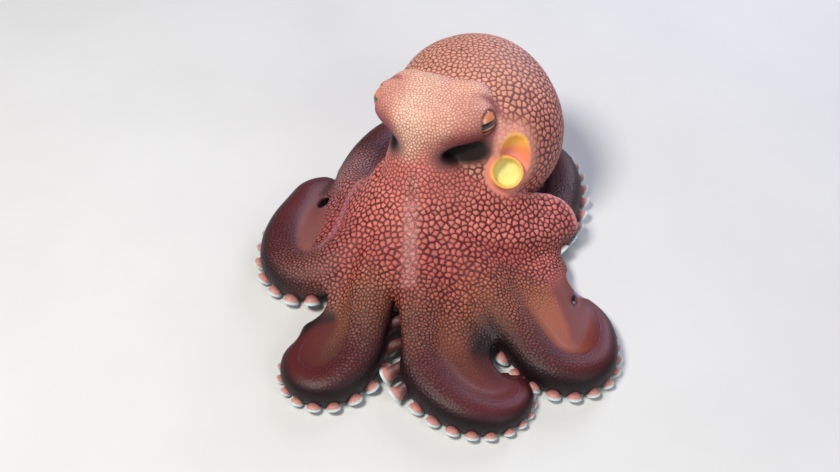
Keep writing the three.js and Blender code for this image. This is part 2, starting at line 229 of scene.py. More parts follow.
def sheet_map(x, y, top, low, nt, nk, notches, thin_edge=True):
    lo = (x.min() - 9, y.min() - 9, 0)
    bx = cut(lo, (x.max() + 9, y.max() + 9, 1))[:2]
    nx, ny = bx[0].stop - bx[0].start, bx[1].stop - bx[1].start
    ix = np.clip(np.rint((x - GX[bx[0].start]) / H).astype(int), 0, nx - 1)
    iy = np.clip(np.rint((y - GY[bx[1].start]) / H).astype(int), 0, ny - 1)
    flat = (ix * ny + iy).ravel()
    cnt = np.bincount(flat, minlength=nx * ny).reshape(nx, ny).astype(float)
    grid = []
    for v in (top, low):
        grid.append(np.bincount(flat, np.ascontiguousarray(v).ravel(), minlength=nx * ny).reshape(nx, ny))
    have = cnt > 0
    grid = [np.where(have, g / np.maximum(cnt, 1), 0) for g in grid]
    known = have.astype(float)
    inside = have.copy()
    # Carry the heights outwards, so the sheet can be blended past its edge.
    for _ in range(int(9 / H)):
        pk = np.pad(known, 1)
        near = sum(pk[1 + i:nx + 1 + i, 1 + j:ny + 1 + j] for i in (-1, 0, 1) for j in (-1, 0, 1))
        new = (known == 0) & (near > 0)
        if not new.any():
            break
        for g in grid:
            pg = np.pad(g * known, 1)
            acc = sum(pg[1 + i:nx + 1 + i, 1 + j:ny + 1 + j] for i in (-1, 0, 1) for j in (-1, 0, 1))
            g[new] = acc[new] / near[new]
        known[new] = 1
    top2, low2 = grid
    # Distance to the outline of the sheet, and to its free edge alone.
    tree = kdtree.KDTree(2 * nt + 2 * nk)
    pts = np.concatenate([np.stack([x[:, 0], y[:, 0]], 1), np.stack([x[:, -1], y[:, -1]], 1),
                          np.stack([x[0], y[0]], 1), np.stack([x[-1], y[-1]], 1)])
    for i, c in enumerate(pts):
        tree.insert((c[0], c[1], 0), i)
    tree.balance()
    edge = kdtree.KDTree(nk)
    for i in range(nk):
        edge.insert((x[-1, i], y[-1, i], 0), i)
    edge.balance()
    D = np.full((nx, ny), 9.0, np.float32)
    E = np.full((nx, ny), 9.0, np.float32)
    xs, ys = GX[bx[0]], GY[bx[1]]
    ii, jj = np.nonzero(known > 0)
    D[ii, jj] = [tree.find((xs[i], ys[j], 0))[2] for i, j in zip(ii, jj)]
    E[ii, jj] = [edge.find((xs[i], ys[j], 0))[2] for i, j in zip(ii, jj)]
    D = np.where(inside, -D, D)
    n = max(1, int(1.4 / H))
    top2, low2, D = blur2(top2, n), blur2(low2, n), blur2(D, 1)
    gx, gy = np.meshgrid(xs, ys, indexing="ij")
    for (cx, cy), (rx, ry) in notches:
        q = np.hypot((gx - cx) / rx, (gy - cy) / ry)
        hole = (1 - q) * min(rx, ry)          # above 0 inside the notch
        D = smax(D, hole, 0.8)
        E = np.minimum(E, np.abs(hole))
    if thin_edge:
        thin = smooth(E / 8.0)
        low2 = np.maximum(low2, (top2 - 1.8) * (1 - thin) + low2 * thin)
    return dict(box=bx, top=top2.astype(np.float32), low=low2.astype(np.float32), D=D.astype(np.float32))


WEB_MAPS = [web_map(w) for w in WEBS]
COLLAR = collar_map()
print("web maps", round(time.time() - T0, 1))


def sheet_field(m, bx):
    """Field of one sheet over a block of the grid that covers it."""
    out = np.full([s.stop - s.start for s in bx], FAR, np.float32)
    s0 = [slice(max(m["box"][a].start, bx[a].start), min(m["box"][a].stop, bx[a].stop)) for a in (0, 1)]
    src = tuple(slice(s0[a].start - m["box"][a].start, s0[a].stop - m["box"][a].start) for a in (0, 1))
    dst = tuple(slice(s0[a].start - bx[a].start, s0[a].stop - bx[a].start) for a in (0, 1))
    top, low, D = m["top"][src], m["low"][src], m["D"][src]
    z = GZ[bx[2]][None, None, :]
    mid, half = (top + low) / 2, (top - low) / 2
    v = np.abs(z - mid[..., None]) - half[..., None]
    out[dst] = smax(v * 0.9, np.broadcast_to(D[..., None], v.shape), 1.4)
    return out


def frame_of(yaw, pitch):
    a, b = math.radians(yaw), math.radians(pitch)
    rz = np.array([[math.cos(a), -math.sin(a), 0], [math.sin(a), math.cos(a), 0], [0, 0, 1]])
    rx = np.array([[1, 0, 0], [0, math.cos(b), -math.sin(b)], [0, math.sin(b), math.cos(b)]])
    return rz @ rx


def blob(at, axes, blunt, bx, turn=None):
    """A rounded body; the value is the distance to its surface along the radius."""
    x, y, z = (g[s].astype(np.float32) for g, s in zip((GX, GY, GZ), bx))
    p = [x[:, None, None] - at[0], y[None, :, None] - at[1], z[None, None, :] - at[2]]
    if turn is not None:
        p = [sum(turn[j][i] * p[j] for j in range(3)) for i in range(3)]
    p = np.broadcast_arrays(*p)
    f = (sum(np.abs(p[i] / axes[i]) ** blunt for i in range(3)) + 1e-9) ** (1 / blunt)
    rad = np.sqrt(p[0] ** 2 + p[1] ** 2 + p[2] ** 2)
    return (rad - rad / np.maximum(f, 0.02)).astype(np.float32)


def tube(a, b, ra, rb, bx, bulge=0.0):
    """A cone with flat ends from a to b, with its waist drawn in."""
    a, b = np.array(a, float), np.array(b, float)
    L = np.linalg.norm(b - a)
    t = (b - a) / L
    x, y, z = (g[s].astype(np.float32) for g, s in zip((GX, GY, GZ), bx))
    p = np.broadcast_arrays(x[:, None, None] - a[0], y[None, :, None] - a[1], z[None, None, :] - a[2])
    al = sum(p[i] * t[i] for i in range(3))
    rad = np.sqrt(np.maximum(sum(p[i] ** 2 for i in range(3)) - al ** 2, 0))
    k = np.clip(al / L, 0, 1)
    rr = ra + (rb - ra) * k - bulge * 4 * k * (1 - k)
    return smax(rad - rr, np.abs(al - L / 2) - L / 2, 0.6).astype(np.float32)


# Crown: the raised middle where the arms and the web come together.
CROWN_AT, CROWN_OVAL, CROWN_LEAN, CROWN_SHOULDER = (-12.0, 15.0), 0.95, 0.38, 17.0
CROWN_PROFILE = [(0, 2.5), (23, 2.5), (23.2, 12), (22.4, 17), (19.2, 21.4), (14.5, 27.2), (11.4, 32.5), (9.5, 37), (0, 38)]


def crown_field(bx):
    hr = 0.5
    rs, zs = np.arange(-2, 46, hr), np.arange(-6, 64, hr)
    R, Z = np.meshgrid(rs, zs, indexing="ij")
    pts = CROWN_PROFILE
    dist = np.full(R.shape, 1e9)
    ins = np.zeros(R.shape, bool)
    loop = pts + [pts[0]]
    for (x0, z0), (x1, z1) in zip(loop[:-1], loop[1:]):
        ex, ez = x1 - x0, z1 - z0
        if x0 == 0 and x1 == 0:
            pass
        else:
            k = np.clip(((R - x0) * ex + (Z - z0) * ez) / (ex * ex + ez * ez), 0, 1)
            dist = np.minimum(dist, np.hypot(R - x0 - k * ex, Z - z0 - k * ez))
        hit = (z0 > Z) != (z1 > Z)
        with np.errstate(divide="ignore", invalid="ignore"):
            ins ^= hit & (R < (x1 - x0) * (Z - z0) / (z1 - z0) + x0)
    sd = blur2(np.where(ins, -dist, dist), 4)
    x, y, z = (g[s] for g, s in zip((GX, GY, GZ), bx))
    cy = CROWN_AT[1] + CROWN_LEAN * np.maximum(0, z - CROWN_SHOULDER)
    rho = np.hypot((x[:, None, None] - CROWN_AT[0]), (y[None, :, None] - cy[None, None, :]) / CROWN_OVAL)
    fr = np.clip((rho - rs[0]) / hr, 0, len(rs) - 1.001)
    fz = np.clip((z - zs[0]) / hr, 0, len(zs) - 1.001)
    i, k = fr.astype(int), fz.astype(int)[None, None, :]
    a, b = (fr - i), (fz - k)
    return (sd[i, k] * (1 - a) * (1 - b) + sd[i + 1, k] * a * (1 - b) + sd[i, k + 1] * (1 - a) * b + sd[i + 1, k + 1] * a * b).astype(np.float32)


MANTLE = dict(at=(-4.5, 49.4, 29.8), axes=(27.2, 30.1, 23.8), blunt=2.15, turn=frame_of(42, 15))
HEAD = dict(at=(-13.8, 30.5, 45.6), axes=(14.8, 11.5, 8.0), blunt=2.4)
BROW = dict(at=(-13.4, 37.0, 46.4), axes=(17.0, 6.5, 6.3), blunt=2.3)
EYE_R = 5.0
EYE_OUT = np.array([0.92, -0.32, 0.24]); EYE_OUT /= np.linalg.norm(EYE_OUT)
FUNNEL_FOOT, FUNNEL_MOUTH = np.array([9.6, 31.0, 27.6]), np.array([13.2, 24.6, 34.2])
FUNNEL_AX = (FUNNEL_MOUTH - FUNNEL_FOOT) / np.linalg.norm(FUNNEL_MOUTH - FUNNEL_FOOT)


PIT_AT = np.array([13.2, 29.6, 36.2])
PIT_N = np.array([0.55, -0.72, 0.42]); PIT_N /= np.linalg.norm(PIT_N)
_u = np.array([-0.1, 0.45, 0.9]); _u -= PIT_N * (_u @ PIT_N); _u /= np.linalg.norm(_u)
PIT_TURN = np.stack([np.cross(_u, PIT_N), PIT_N, _u], 1)


def polyline(P, pts):
    """Distance in plan from a polyline, and how far along it, 0 to 1."""
    pts = np.array(pts, float)
    best, at = np.full(len(P), 1e9), np.zeros(len(P))
    for i in range(len(pts) - 1):
        e = pts[i + 1, :2] - pts[i, :2]
        k = np.clip(((P[:, :2] - pts[i, :2]) @ e) / (e @ e), 0, 1)
        d = np.hypot(*(P[:, :2] - pts[i, :2] - k[:, None] * e).T)
        m = d < best
        best[m], at[m] = d[m], (i + k[m]) / (len(pts) - 1)
    return best, at


def around(c, m):
    return cut(np.asarray(c, float) - m, np.asarray(c, float) + m)


def merge(T, bx, f, k):
    T[bx] = smin(T[bx], f, k)


def field():
    T = np.full(N, FAR, np.float32)
    bc = cut((-46, -18, -2), (22, 50, 48))
    C = np.full(N, FAR, np.float32)
    C[bc] = crown_field(bc)
    # Arms with the sheets that hang on them, each kept apart from the next.
    for key in KEYS:
        ln = LINES[key]
        keep = ln.s > 0.1 * ln.L
        lo = [ln.x[keep].min() - 13, ln.y[keep].min() - 13, -3]
        hi = [ln.x[keep].max() + 13, ln.y[keep].max() + 13, (ln.z + ln.r)[keep].max() + 6]
        mine = [i for i, w in enumerate(WEBS) if key in (w[0], w[3])]
        for i in mine:
            b = WEB_MAPS[i]["box"]
            lo[0], hi[0] = min(lo[0], GX[b[0].start]), max(hi[0], GX[b[0].stop - 1])
            lo[1], hi[1] = min(lo[1], GY[b[1].start]), max(hi[1], GY[b[1].stop - 1])
        bx = cut(lo, hi)
        A = arm_field(key, bx)
        for i in mine:
            A = smin(A, sheet_field(WEB_MAPS[i], bx), 3.0)
        A = smin(A, C[bx], 5.0)
        T[bx] = np.minimum(T[bx], A)
    bx = cut((-18, -50, -2), (8, -8, 16))
    gx, gy = GX[bx[0]], GY[bx[1]]
    xx, yy = np.meshgrid(gx, gy, indexing="ij")
    dcl, acl = polyline(np.stack([xx.ravel(), yy.ravel()], 1), [(-7.8, -15.5), (-6.0, -22.0), (-3.0, -33.0), (-1.0, -42.0)])
    wcl = 0.2 + 2.0 * smooth(acl / 0.7)
    groove = (dcl - wcl).reshape(xx.shape)[..., None] + np.maximum(0, GZ[bx[2]] - 10.0)[None, None, :] * 0.4
    T[bx] = smax(T[bx], -groove.astype(np.float32), 1.6)
    bx = cut((-20, -4, 0), (46, 48, 42))
    T[bx] = smin(T[bx], sheet_field(COLLAR, bx), 3.0)
    print("arms", round(time.time() - T0, 1))
    # Head, with a mound and a lidded turret for each eye, on the crown.
    bh = cut((-46, -16, 0), (24, 60, 60))
    Hd = smin(blob(bx=bh, **HEAD), blob(bx=bh, **BROW), 5.0)
    for at, ax in (((-23.5, 38.3, 47.6), (6.5, 5.5, 5.2)), ((-3.5, 37.6, 48.8), (7.2, 5.5, 5.6))):
        Hd = smin(Hd, blob(at, ax, 2.0, bh), 2.5)
    for s, c in zip((-1, 1), EYE_C):
        Hd = smin(Hd, blob((c[0] - s * 3.4, 30.2, 47.0), (7.2, 8.6, 6.4), 2.1, bh), 3.0)
    neck = smin(tube((-14.4, 13.0, 11.5), (-13.8, 31.0, 46.5), 14.6, 10.0, bh), blob((2.0, 31.0, 25.0), (9.5, 9.0, 12.5), 2.2, bh), 4.0)
    S = smin(smin(T[bh], neck, 8.0), Hd, 6.0)
    # Hollow under each eye.
    for s, c in zip((-1, 1), EYE_C):
        at = (c[0] - s * 2.4, 25.5, 40.2) if s > 0 else (-26.6, 23.5, 40.8)
        S = smax(S, -blob(at, (6.2, 10.5, 2.2), 2.0, bh), 2.4)
    # Turrets and lids.
    for s, c in zip((-1, 1), EYE_C):
        out = EYE_OUT * (s, 1, 1)
        S = smin(S, blob(c, (5.75,) * 3, 2.0, bh), 1.8)
        up = np.array([0, 0, 1.0]) - out * out[2]; up /= np.linalg.norm(up)
        fw = np.cross(up, out)
        turn = np.stack([out, fw, up], 1)
        hole = blob(c + out * 4.9, (3.6, 4.1, 4.45), 2.2, bh, turn)
        ball = blob(c, (EYE_R - 0.25,) * 3, 2.0, bh)
        S = smax(S, -smax(hole, -ball, 0.5), 0.6)
    T[bh] = S
    bm = cut((-44, 8, -2), (36, 90, 60))
    T[bm] = smin(T[bm], blob(bx=bm, **MANTLE), 1.0)
    # Mantle aperture: a shallow pit with a raised margin round the funnel.
    pc, pn, pturn = PIT_AT, PIT_N, PIT_TURN
    bp = around(pc, 17)
    rim = blob(pc - pn * 0.6, (5.8, 3.4, 8.6), 2.3, bp, pturn)
    T[bp] = smin(T[bp], rim, 3.0)
    T[bp] = smax(T[bp], -blob(pc + pn * 2.4, (4.8, 3.6, 7.6), 2.2, bp, pturn), 1.2)
    bf = around((FUNNEL_FOOT + FUNNEL_MOUTH) / 2, 14)
    fun = tube(FUNNEL_FOOT - FUNNEL_AX * 3, FUNNEL_MOUTH, 6.4, 5.3, bf, 0.5)
    T[bf] = smin(T[bf], fun, 1.4)
    T[bf] = smax(T[bf], -tube(FUNNEL_MOUTH - FUNNEL_AX * 3.0, FUNNEL_MOUTH + FUNNEL_AX * 4, 3.9, 4.9, bf), 0.6)
    T = np.maximum(T, -GZ[None, None, :].astype(np.float32))
    return T


def nets(F):
    """Surface nets: one point in each cell the surface crosses."""
    ins = F < 0
    cnt = np.zeros(N - 1, np.uint8)
    for a in (0, 1):
        for b in (0, 1):
            for c in (0, 1):
                cnt += ins[a:N[0] - 1 + a, b:N[1] - 1 + b, c:N[2] - 1 + c]
    act = (cnt > 0) & (cnt < 8)
    idx = np.full(N - 1, -1, np.int32)
    I, J, K = np.nonzero(act)
    idx[I, J, K] = np.arange(len(I))
    v = {}
    for a in (0, 1):
        for b in (0, 1):
            for c in (0, 1):
                v[a, b, c] = F[I + a, J + b, K + c].astype(float)
    acc = np.zeros((len(I), 3))
    n = np.zeros(len(I))
    for (c0, c1) in [((a, b, 0), (a, b, 1)) for a in (0, 1) for b in (0, 1)] + \
                    [((a, 0, b), (a, 1, b)) for a in (0, 1) for b in (0, 1)] + \
                    [((0, a, b), (1, a, b)) for a in (0, 1) for b in (0, 1)]:
        f0, f1 = v[c0], v[c1]
        m = (f0 < 0) != (f1 < 0)
        t = np.where(m, f0 / np.where(m, f0 - f1, 1), 0)
        for ax in range(3):
            acc[:, ax] += m * (c0[ax] + (c1[ax] - c0[ax]) * t)
        n += m
    P = acc / n[:, None] + np.stack([I, J, K], 1)
    P = LO + H * P
    quads = []
    for ax in range(3):
        sl0 = [slice(1, -1)] * 3; sl0[ax] = slice(0, -1)
        sl1 = [slice(1, -1)] * 3; sl1[ax] = slice(1, None)
        a, b = ins[tuple(sl0)], ins[tuple(sl1)]
        cross = np.nonzero(a != b)
        into = a[cross]                       # inside on the low side: faces up the axis
        o = [c + 1 for c in cross]; o[ax] = cross[ax]
        u, w = (ax + 1) % 3, (ax + 2) % 3
        def cell(du, dw):
            q = list(o); q[u] = q[u] - du; q[w] = q[w] - dw
            return idx[tuple(q)]
        q = np.stack([cell(1, 1), cell(0, 1), cell(0, 0), cell(1, 0)], 1)
        q = np.where(into[:, None], q, q[:, ::-1])
        quads.append(q)
    return P, np.concatenate(quads)


def edges_of(Q):
    e = np.concatenate([Q[:, [0, 1]], Q[:, [1, 2]], Q[:, [2, 3]], Q[:, [3, 0]]])
    e.sort(1)
    key = e[:, 0].astype(np.int64) * (Q.max() + 1) + e[:, 1]
    _, i = np.unique(key, return_index=True)
    return e[i]


def relax(P, E, rounds, lam, mu=None, weight=None):
    n = len(P)
    deg = np.bincount(E[:, 0], minlength=n) + np.bincount(E[:, 1], minlength=n)
    for r in range(rounds):
        for l in ((lam,) if mu is None else (lam, mu)):
            avg = np.stack([np.bincount(E[:, 0], P[E[:, 1], a], minlength=n) + np.bincount(E[:, 1], P[E[:, 0], a], minlength=n) for a in range(P.shape[1])], 1) / deg[:, None]
            d = (avg - P) * l
            P = P + (d if weight is None else d * weight[:, None])
    return P


def vertex_normals(P, Q):
    d1, d2 = P[Q[:, 2]] - P[Q[:, 0]], P[Q[:, 3]] - P[Q[:, 1]]
    fn = np.cross(d1, d2)
    out = np.zeros_like(P)
    for a in range(3):
        for c in range(4):
            out[:, a] += np.bincount(Q[:, c], fn[:, a], minlength=len(P))
    return out / np.maximum(np.linalg.norm(out, axis=1), 1e-12)[:, None]


F = field()
print("field", round(time.time() - T0, 1), F.shape)
P, Q = nets(F)
E = edges_of(Q)
near_eye = np.min([np.linalg.norm(P - c, axis=1) for c in EYE_C], 0)
wt = 0.35 + 0.65 * ramp(near_eye, 6.5, 9.5)
P = relax(P, E, 8, 0.5, weight=wt)
P[:, 2] = np.maximum(P[:, 2], 0)
NRM = vertex_normals(P, Q)
print("skin", len(P), "points", len(Q), "quads", round(time.time() - T0, 1), P.min(0), P.max(0))


def make_mesh(name, P, faces, smooth_shade=True):
    """A mesh object from points in drawing millimetres and an array of quads."""
    me = bpy.data.meshes.new(name)
    n = faces.shape[1]
    me.vertices.add(len(P))
    me.vertices.foreach_set("co", row(P).astype(np.float32).ravel())
    me.loops.add(faces.size)
    me.loops.foreach_set("vertex_index", faces.astype(np.int32).ravel())
    me.polygons.add(len(faces))
    me.polygons.foreach_set("loop_start", np.arange(0, faces.size, n, dtype=np.int32))
    me.polygons.foreach_set("loop_total", np.full(len(faces), n, np.int32))
    me.update(calc_edges=True)
    me.validate()
    me.shade_smooth()
    ob = bpy.data.objects.new(name, me)
    bpy.context.scene.collection.objects.link(ob)
    return ob


# -------------------------------------------------------------- skin colours
def srgb(r, g, b):
    c = np.array([r, g, b]) / 255.0
    return np.where(c <= 0.04045, c / 12.92, ((c + 0.055) / 1.055) ** 2.4)


def mix(a, b, k):
    k = np.asarray(k)[..., None] if np.ndim(k) else k
    return a + (b - a) * k


def gap(P, at, axes, blunt=2.0, turn=None):
    """About how far points are from a blob's surface; negative inside."""
    q = (P - np.array(at)) @ (np.eye(3) if turn is None else turn)
    f = (np.abs(q / np.array(axes)) ** blunt).sum(1) ** (1 / blunt)
    return (f - 1) * min(axes)


WEB_NEAR, WEB_MID = srgb(200, 112, 100), srgb(170, 78, 70)
# Arm colours: the flank colour is partly the arms' own dark band and partly painted shade; the deepest colour is
# painted shade.
ARM_SKIN, FLANK_DARK_AND_SHADE, DEEP_SHADE = srgb(88, 28, 30), srgb(42, 10, 14), srgb(14, 3, 6)
DISH = {"r1": srgb(96, 54, 46), "l1": srgb(98, 46, 34), "l2": srgb(138, 70, 40), "l3": srgb(88, 34, 38),
        "l4": srgb(110, 60, 52), "r2": srgb(128, 78, 74), "r3": srgb(140, 92, 92), "r4": srgb(110, 62, 56)}
COLLAR_SPOTS = np.concatenate([np.array([np.array([np.interp(t, np.linspace(0, 1, len(q)), np.array(q, float)[:, a]) for a in range(3)]) for t in np.linspace(0, 1, 50)])[None]
                               for q in (COLLAR_TOP, COLLAR_FOOT)])
COLLAR_SPOTS = np.concatenate([COLLAR_SPOTS[0] * (1 - k) + COLLAR_SPOTS[1] * k for k in np.linspace(0, 1, 12)])
WARM = {"r1": srgb(158, 96, 66), "l1": srgb(152, 84, 60), "l2": srgb(164, 90, 56), "l3": srgb(196, 100, 86),
        "l4": srgb(150, 84, 66), "r2": srgb(158, 94, 84), "r3": srgb(172, 118, 118), "r4": srgb(150, 84, 66)}
LINE_WEB, LINE_ARM, LINE_MANTLE, LINE_HEAD = srgb(76, 14, 22), srgb(28, 6, 11), srgb(82, 24, 32), srgb(154, 76, 72)
# Offset of each arm's ridge line, along the arm; the skin shader paints a glint along this line.
RIDGE_AT = ([0, 0.12, 0.3, 0.6, 0.8, 1.0], [3.4, 4.4, 4.8, 3.6, 1.6, 0.6])


def paint(P, NRM):
    n = len(P)
    wsum = np.zeros(n)
    base, line = np.zeros((n, 3)), np.zeros((n, 3))
    net, size, rid, strand = np.zeros(n), np.zeros(n), np.full(n, 6.0), np.zeros(n)
    nearest = np.full(n, 1e9)
    ix = np.clip(np.rint((P[:, 0] - LO[0]) / H).astype(int), 0, N[0] - 1)
    iy = np.clip(np.rint((P[:, 1] - LO[1]) / H).astype(int), 0, N[1] - 1)
    for key in KEYS:
        ln, m = LINES[key], MAPS[key]
        d0, s0 = m["d"][ix, iy], m["s"][ix, iy]
        v = np.nonzero(d0 < 24)[0]
        if not len(v):
            continue
        k = np.clip(np.rint(s0[v] / 0.25).astype(int), 0, len(ln.s) - 1)
        ex, ey = P[v, 0] - ln.x[k], P[v, 1] - ln.y[k]
        s_ = np.clip(ln.s[k] + ex * ln.tx[k] + ey * ln.ty[k], 0, ln.L)
        u = (ex * ln.nx[k] + ey * ln.ny[k]) * ln.side
        r, zc = np.interp(s_, ln.s, ln.r), np.interp(s_, ln.s, ln.z)
        d = d0[v]
        h = (P[v, 2] - zc) / (TALL * r)
        f = (((d / r) ** 2.3 + np.abs(h) ** 2.3) ** (1 / 2.3) - 1) * r
        w = np.exp(-np.maximum(f, 0) / 1.8) * ramp(s_, 2, 8) + 1e-6
        t = s_ / ln.L
        rd = u + np.interp(t, *RIDGE_AT)
        # Away from the crown the colour turns to the dark arm and dish colours: partly the arms' own dark red, partly
        # painted shade for light falling off toward the tips.
        beyond = ramp(-rd, 0.0, 2.6)
        if key in ("l3", "l4", "r3", "r4"):
            far = ramp(t, 0.26, 0.52) if key != "r3" else ramp(t, 0.38, 0.54)
        else:
            far = ramp(t, 0.22, 0.56)
        c = mix(WEB_MID, WARM[key], ramp(t, 0.12, 0.34))
        c = mix(c, mix(ARM_SKIN, mix(DISH[key], ARM_SKIN, 0.75 * ramp(t, 0.52, 0.86)), beyond), far)
        # The flank over the suckers darkens almost to black away from the crown: partly the arms' own dark band, partly
        # painted shade on the flank and on the underside of each arm.
        q = u / r
        t0 = 0.10 if key == "l3" else 0.0
        dark = ramp(q, 0.12, 0.80) * ramp(t, 0.24 + t0, 0.50 + t0)
        c = mix(c, FLANK_DARK_AND_SHADE, 0.85 * dark)
        # Near-black on the outer flank and on the lower side of each arm: painted shade.
        c = mix(c, DEEP_SHADE, 0.92 * ramp(q, 0.55, 0.95) * ramp(t, 0.27 + t0, 0.40 + t0))
        c = mix(c, DEEP_SHADE, 0.92 * ramp(-h, -0.1, 0.7) * ramp(t, 0.16 + t0, 0.34 + t0))
        l = mix(LINE_WEB, LINE_ARM, ramp(t, 0.15, 0.4))
        nt = (1 - 0.85 * ramp(t, 0.44, 0.78)) * (1 - (0.9 if key in ("l2", "r2") else 0.55) * beyond * ramp(t, 0.26, 0.44)) * (1 - 0.45 * dark)
        nt = nt * (1 - ramp(t, 0.84, 0.94))
        sz = 2.1 - 0.9 * ramp(t, 0.12, 0.34)
        st = ramp(t, 0.05, 0.12) * (1 - ramp(t, 0.26, 0.38)) * (1.0 if key in ("l2", "l3", "l1") else 0.6)
        base[v] += c * w[:, None]; line[v] += l * w[:, None]
        net[v] += nt * w; size[v] += sz * w; strand[v] += st * w
        wsum[v] += w
        near = f < nearest[v]
        ok = near & (f < 3.0) & (t > 0.10) & (t < 0.97)
        rid[v[near]] = 6.0
        rid[v[ok]] = np.clip(rd[ok], -6, 6)
        nearest[v[near]] = f[near]
    lost = wsum < 1e-9
    wsum[lost] = 1
    base /= wsum[:, None]; line /= wsum[:, None]
    net /= wsum; size /= wsum; strand /= wsum
    base[lost], line[lost], net[lost], size[lost] = WEB_MID, LINE_WEB, 1.0, 2.4
    # Even out the joins between one arm's colours and the next.
    both = relax(np.concatenate([base, line, net[:, None], size[:, None], strand[:, None]], 1), E, 8, 0.7)
    base, line, net, size, strand = both[:, :3], both[:, 3:6], both[:, 6], both[:, 7], both[:, 8]
    # Crown and neck.
    rc = np.hypot(P[:, 0] + 12, P[:, 1] - 17 - 0.4 * np.maximum(P[:, 2] - 17, 0))
    top = ramp(P[:, 2], 12, 24) * (1 - ramp(rc, 15, 34))
    base = mix(base, WEB_NEAR, 0.9 * top)
    line = mix(line, LINE_WEB, 0.8 * top)
    net = np.maximum(net, top); size = size + (2.1 - size) * top
    strand = np.maximum(strand, 0.5 * top)
    # The band between the two front arms, greyish and mottled.
    d, at = polyline(P, [(-13.4, 9.5), (-12.6, 7.5), (-9.2, -2), (-4.9, -14.7), (-4.4, -17)])
    streak = (1 - ramp(d, 1.2, 3.4)) * ramp(P[:, 2], 7, 12) * (1 - ramp(at, 0.86, 1.0))
    base = mix(base, srgb(150, 88, 84), 0.5 * streak)
    net *= 1 - 0.55 * streak
    # Folded web below the funnel: a pink margin, darker beyond.
    d, at = polyline(P, COLLAR_TOP)
    rim = (1 - ramp(d, 0.6, 3.2)) * ramp(at, 0.25, 0.5) * ramp(NRM[:, 2], -0.2, 0.5) * ramp(P[:, 2], 7, 10)
    spots = kdtree.KDTree(len(COLLAR_SPOTS))
    for i, c in enumerate(COLLAR_SPOTS):
        spots.insert(c, i)
    spots.balance()
    near = np.nonzero((P[:, 0] > -12) & (P[:, 0] < 40) & (P[:, 1] > 4) & (P[:, 1] < 42) & (P[:, 2] > 5))[0]
    dist = np.full(n, 9.0)
    dist[near] = [spots.find(P[i])[2] for i in near]
    fold = (1 - ramp(dist, 1.0, 3.4)) * ramp(P[:, 0], -4, 6) * ramp(NRM[:, 2] + NRM[:, 0] * 0.5 - NRM[:, 1] * 0.5, -0.2, 0.3)
    base = mix(base, WEB_NEAR, 0.92 * fold)
    base = mix(base, srgb(150, 66, 72), 0.5 * fold * ramp(P[:, 0], 24, 36))
    line = mix(line, LINE_WEB, fold)
    net = net + (1 - net) * fold; size = size + (2.1 - size) * fold; strand = strand + (0.6 - strand) * fold
    base = mix(base, srgb(232, 146, 142), 0.85 * rim)
    net *= 1 - 0.7 * rim
    strand *= 1 - rim
    # Head.
    gh = np.minimum(gap(P, **HEAD), gap(P, **BROW))
    for c in EYE_C:
        gh = np.minimum(gh, gap(P, c, (7.6, 7.6, 7.6)))
    gm = gap(P, **MANTLE)
    z = P[:, 2]
    head = ramp(z, 30.0, 40.0) * (1 - ramp(gh, 2.5, 7.0))
    # Paler toward the top: partly the head's own cream colour, partly painted light from above.
    base_h = mix(srgb(196, 118, 106), srgb(232, 176, 152), ramp(z, 38, 50))
    # Eye mounds pinker and darker, most on their lower sides: partly their own colour, partly painted shade.
    mound_tint_and_shade = np.minimum(gap(P, EYE_C[0] + [3.0, -1, 0], (7.4, 9.0, 7.0)), gap(P, EYE_C[1] - [3.0, 1, 0], (7.4, 9.0, 7.0)))
    base_h = mix(base_h, srgb(178, 96, 92), (1 - ramp(mound_tint_and_shade, -1.5, 2.4)) * (0.92 - 0.45 * ramp(z, 49, 54)))
    # Painted highlight: a pale cream spot on the upper left of the head.
    base_h = mix(base_h, srgb(244, 204, 178), 0.7 * (1 - ramp(np.hypot(P[:, 0] + 17.5, (z - 47.5) * 0.6), 2.5, 8.0)))
    base = mix(base, base_h, head)
    line = mix(line, LINE_HEAD, 0.85 * head)
    neck = ramp(z, 26, 33) * (1 - ramp(rc, 17, 26))
    net = net * (1 - neck) + 0.75 * neck
    size = size * (1 - neck) + 1.5 * neck
    net = net * (1 - head) + 0.75 * head * (1 - 0.25 * ramp(z, 42, 52))
    size = size * (1 - head) + 1.05 * head
    strand *= (1 - ramp(z, 27, 32)) * (1 - head)
    # Mantle, with its own net of tan cells.
    man = 1 - ramp(gm - 0.35 * np.maximum(gh, 0) * 0, 0.25, 1.6)
    man *= 1 - (1 - ramp(gh, -0.4, 0.9)) * (z > 30)
    # Lighter toward the upper left and darker toward the lower right: partly the mantle's own tone, partly painted
    # light from the upper left.
    base_m = mix(srgb(204, 142, 120), srgb(186, 112, 98), ramp(P[:, 0] - 0.4 * z, -22, 14))
    # Darker toward the bottom, where the mantle sits on the arms: painted shade.
    base_m = mix(base_m, srgb(120, 52, 54), 0.75 * (1 - ramp(z, 6, 22)))
    base = mix(base, base_m, man)
    line = mix(line, LINE_MANTLE, man)
    net = net * (1 - man) + man * (0.92 - 0.2 * ramp(z, 42, 52))
    size = size * (1 - man) + man * (1.7 + 0.55 * ramp(P[:, 0], -10, 12) * ramp(z, 18, 30))
    strand = strand * (1 - man) + 0.75 * man * ramp(P[:, 0], -6, 10) * ramp(z, 16, 30)
    # Painted near-black shade in the hollows under the eyes, painted shade under and on the lower part of each eye
    # bulge, and the reddish crease behind each eye, partly painted shade.
    for sd, c in zip((-1, 1), EYE_C):
        at_ = (c[0] - sd * 2.4, 24.5, 40.2) if sd > 0 else (-26.6, 23.0, 40.8)
        # Painted shade: near-black in the hollow under each eye.
        hollow_shade = 1 - ramp(gap(P, at_, (6.4, 8.0, 2.8)), 0.0, 2.9)
        base = mix(base, srgb(6, 2, 3), 0.98 * hollow_shade)
        line = mix(line, srgb(8, 3, 5), hollow_shade)
        net *= 1 - hollow_shade; strand *= 1 - hollow_shade
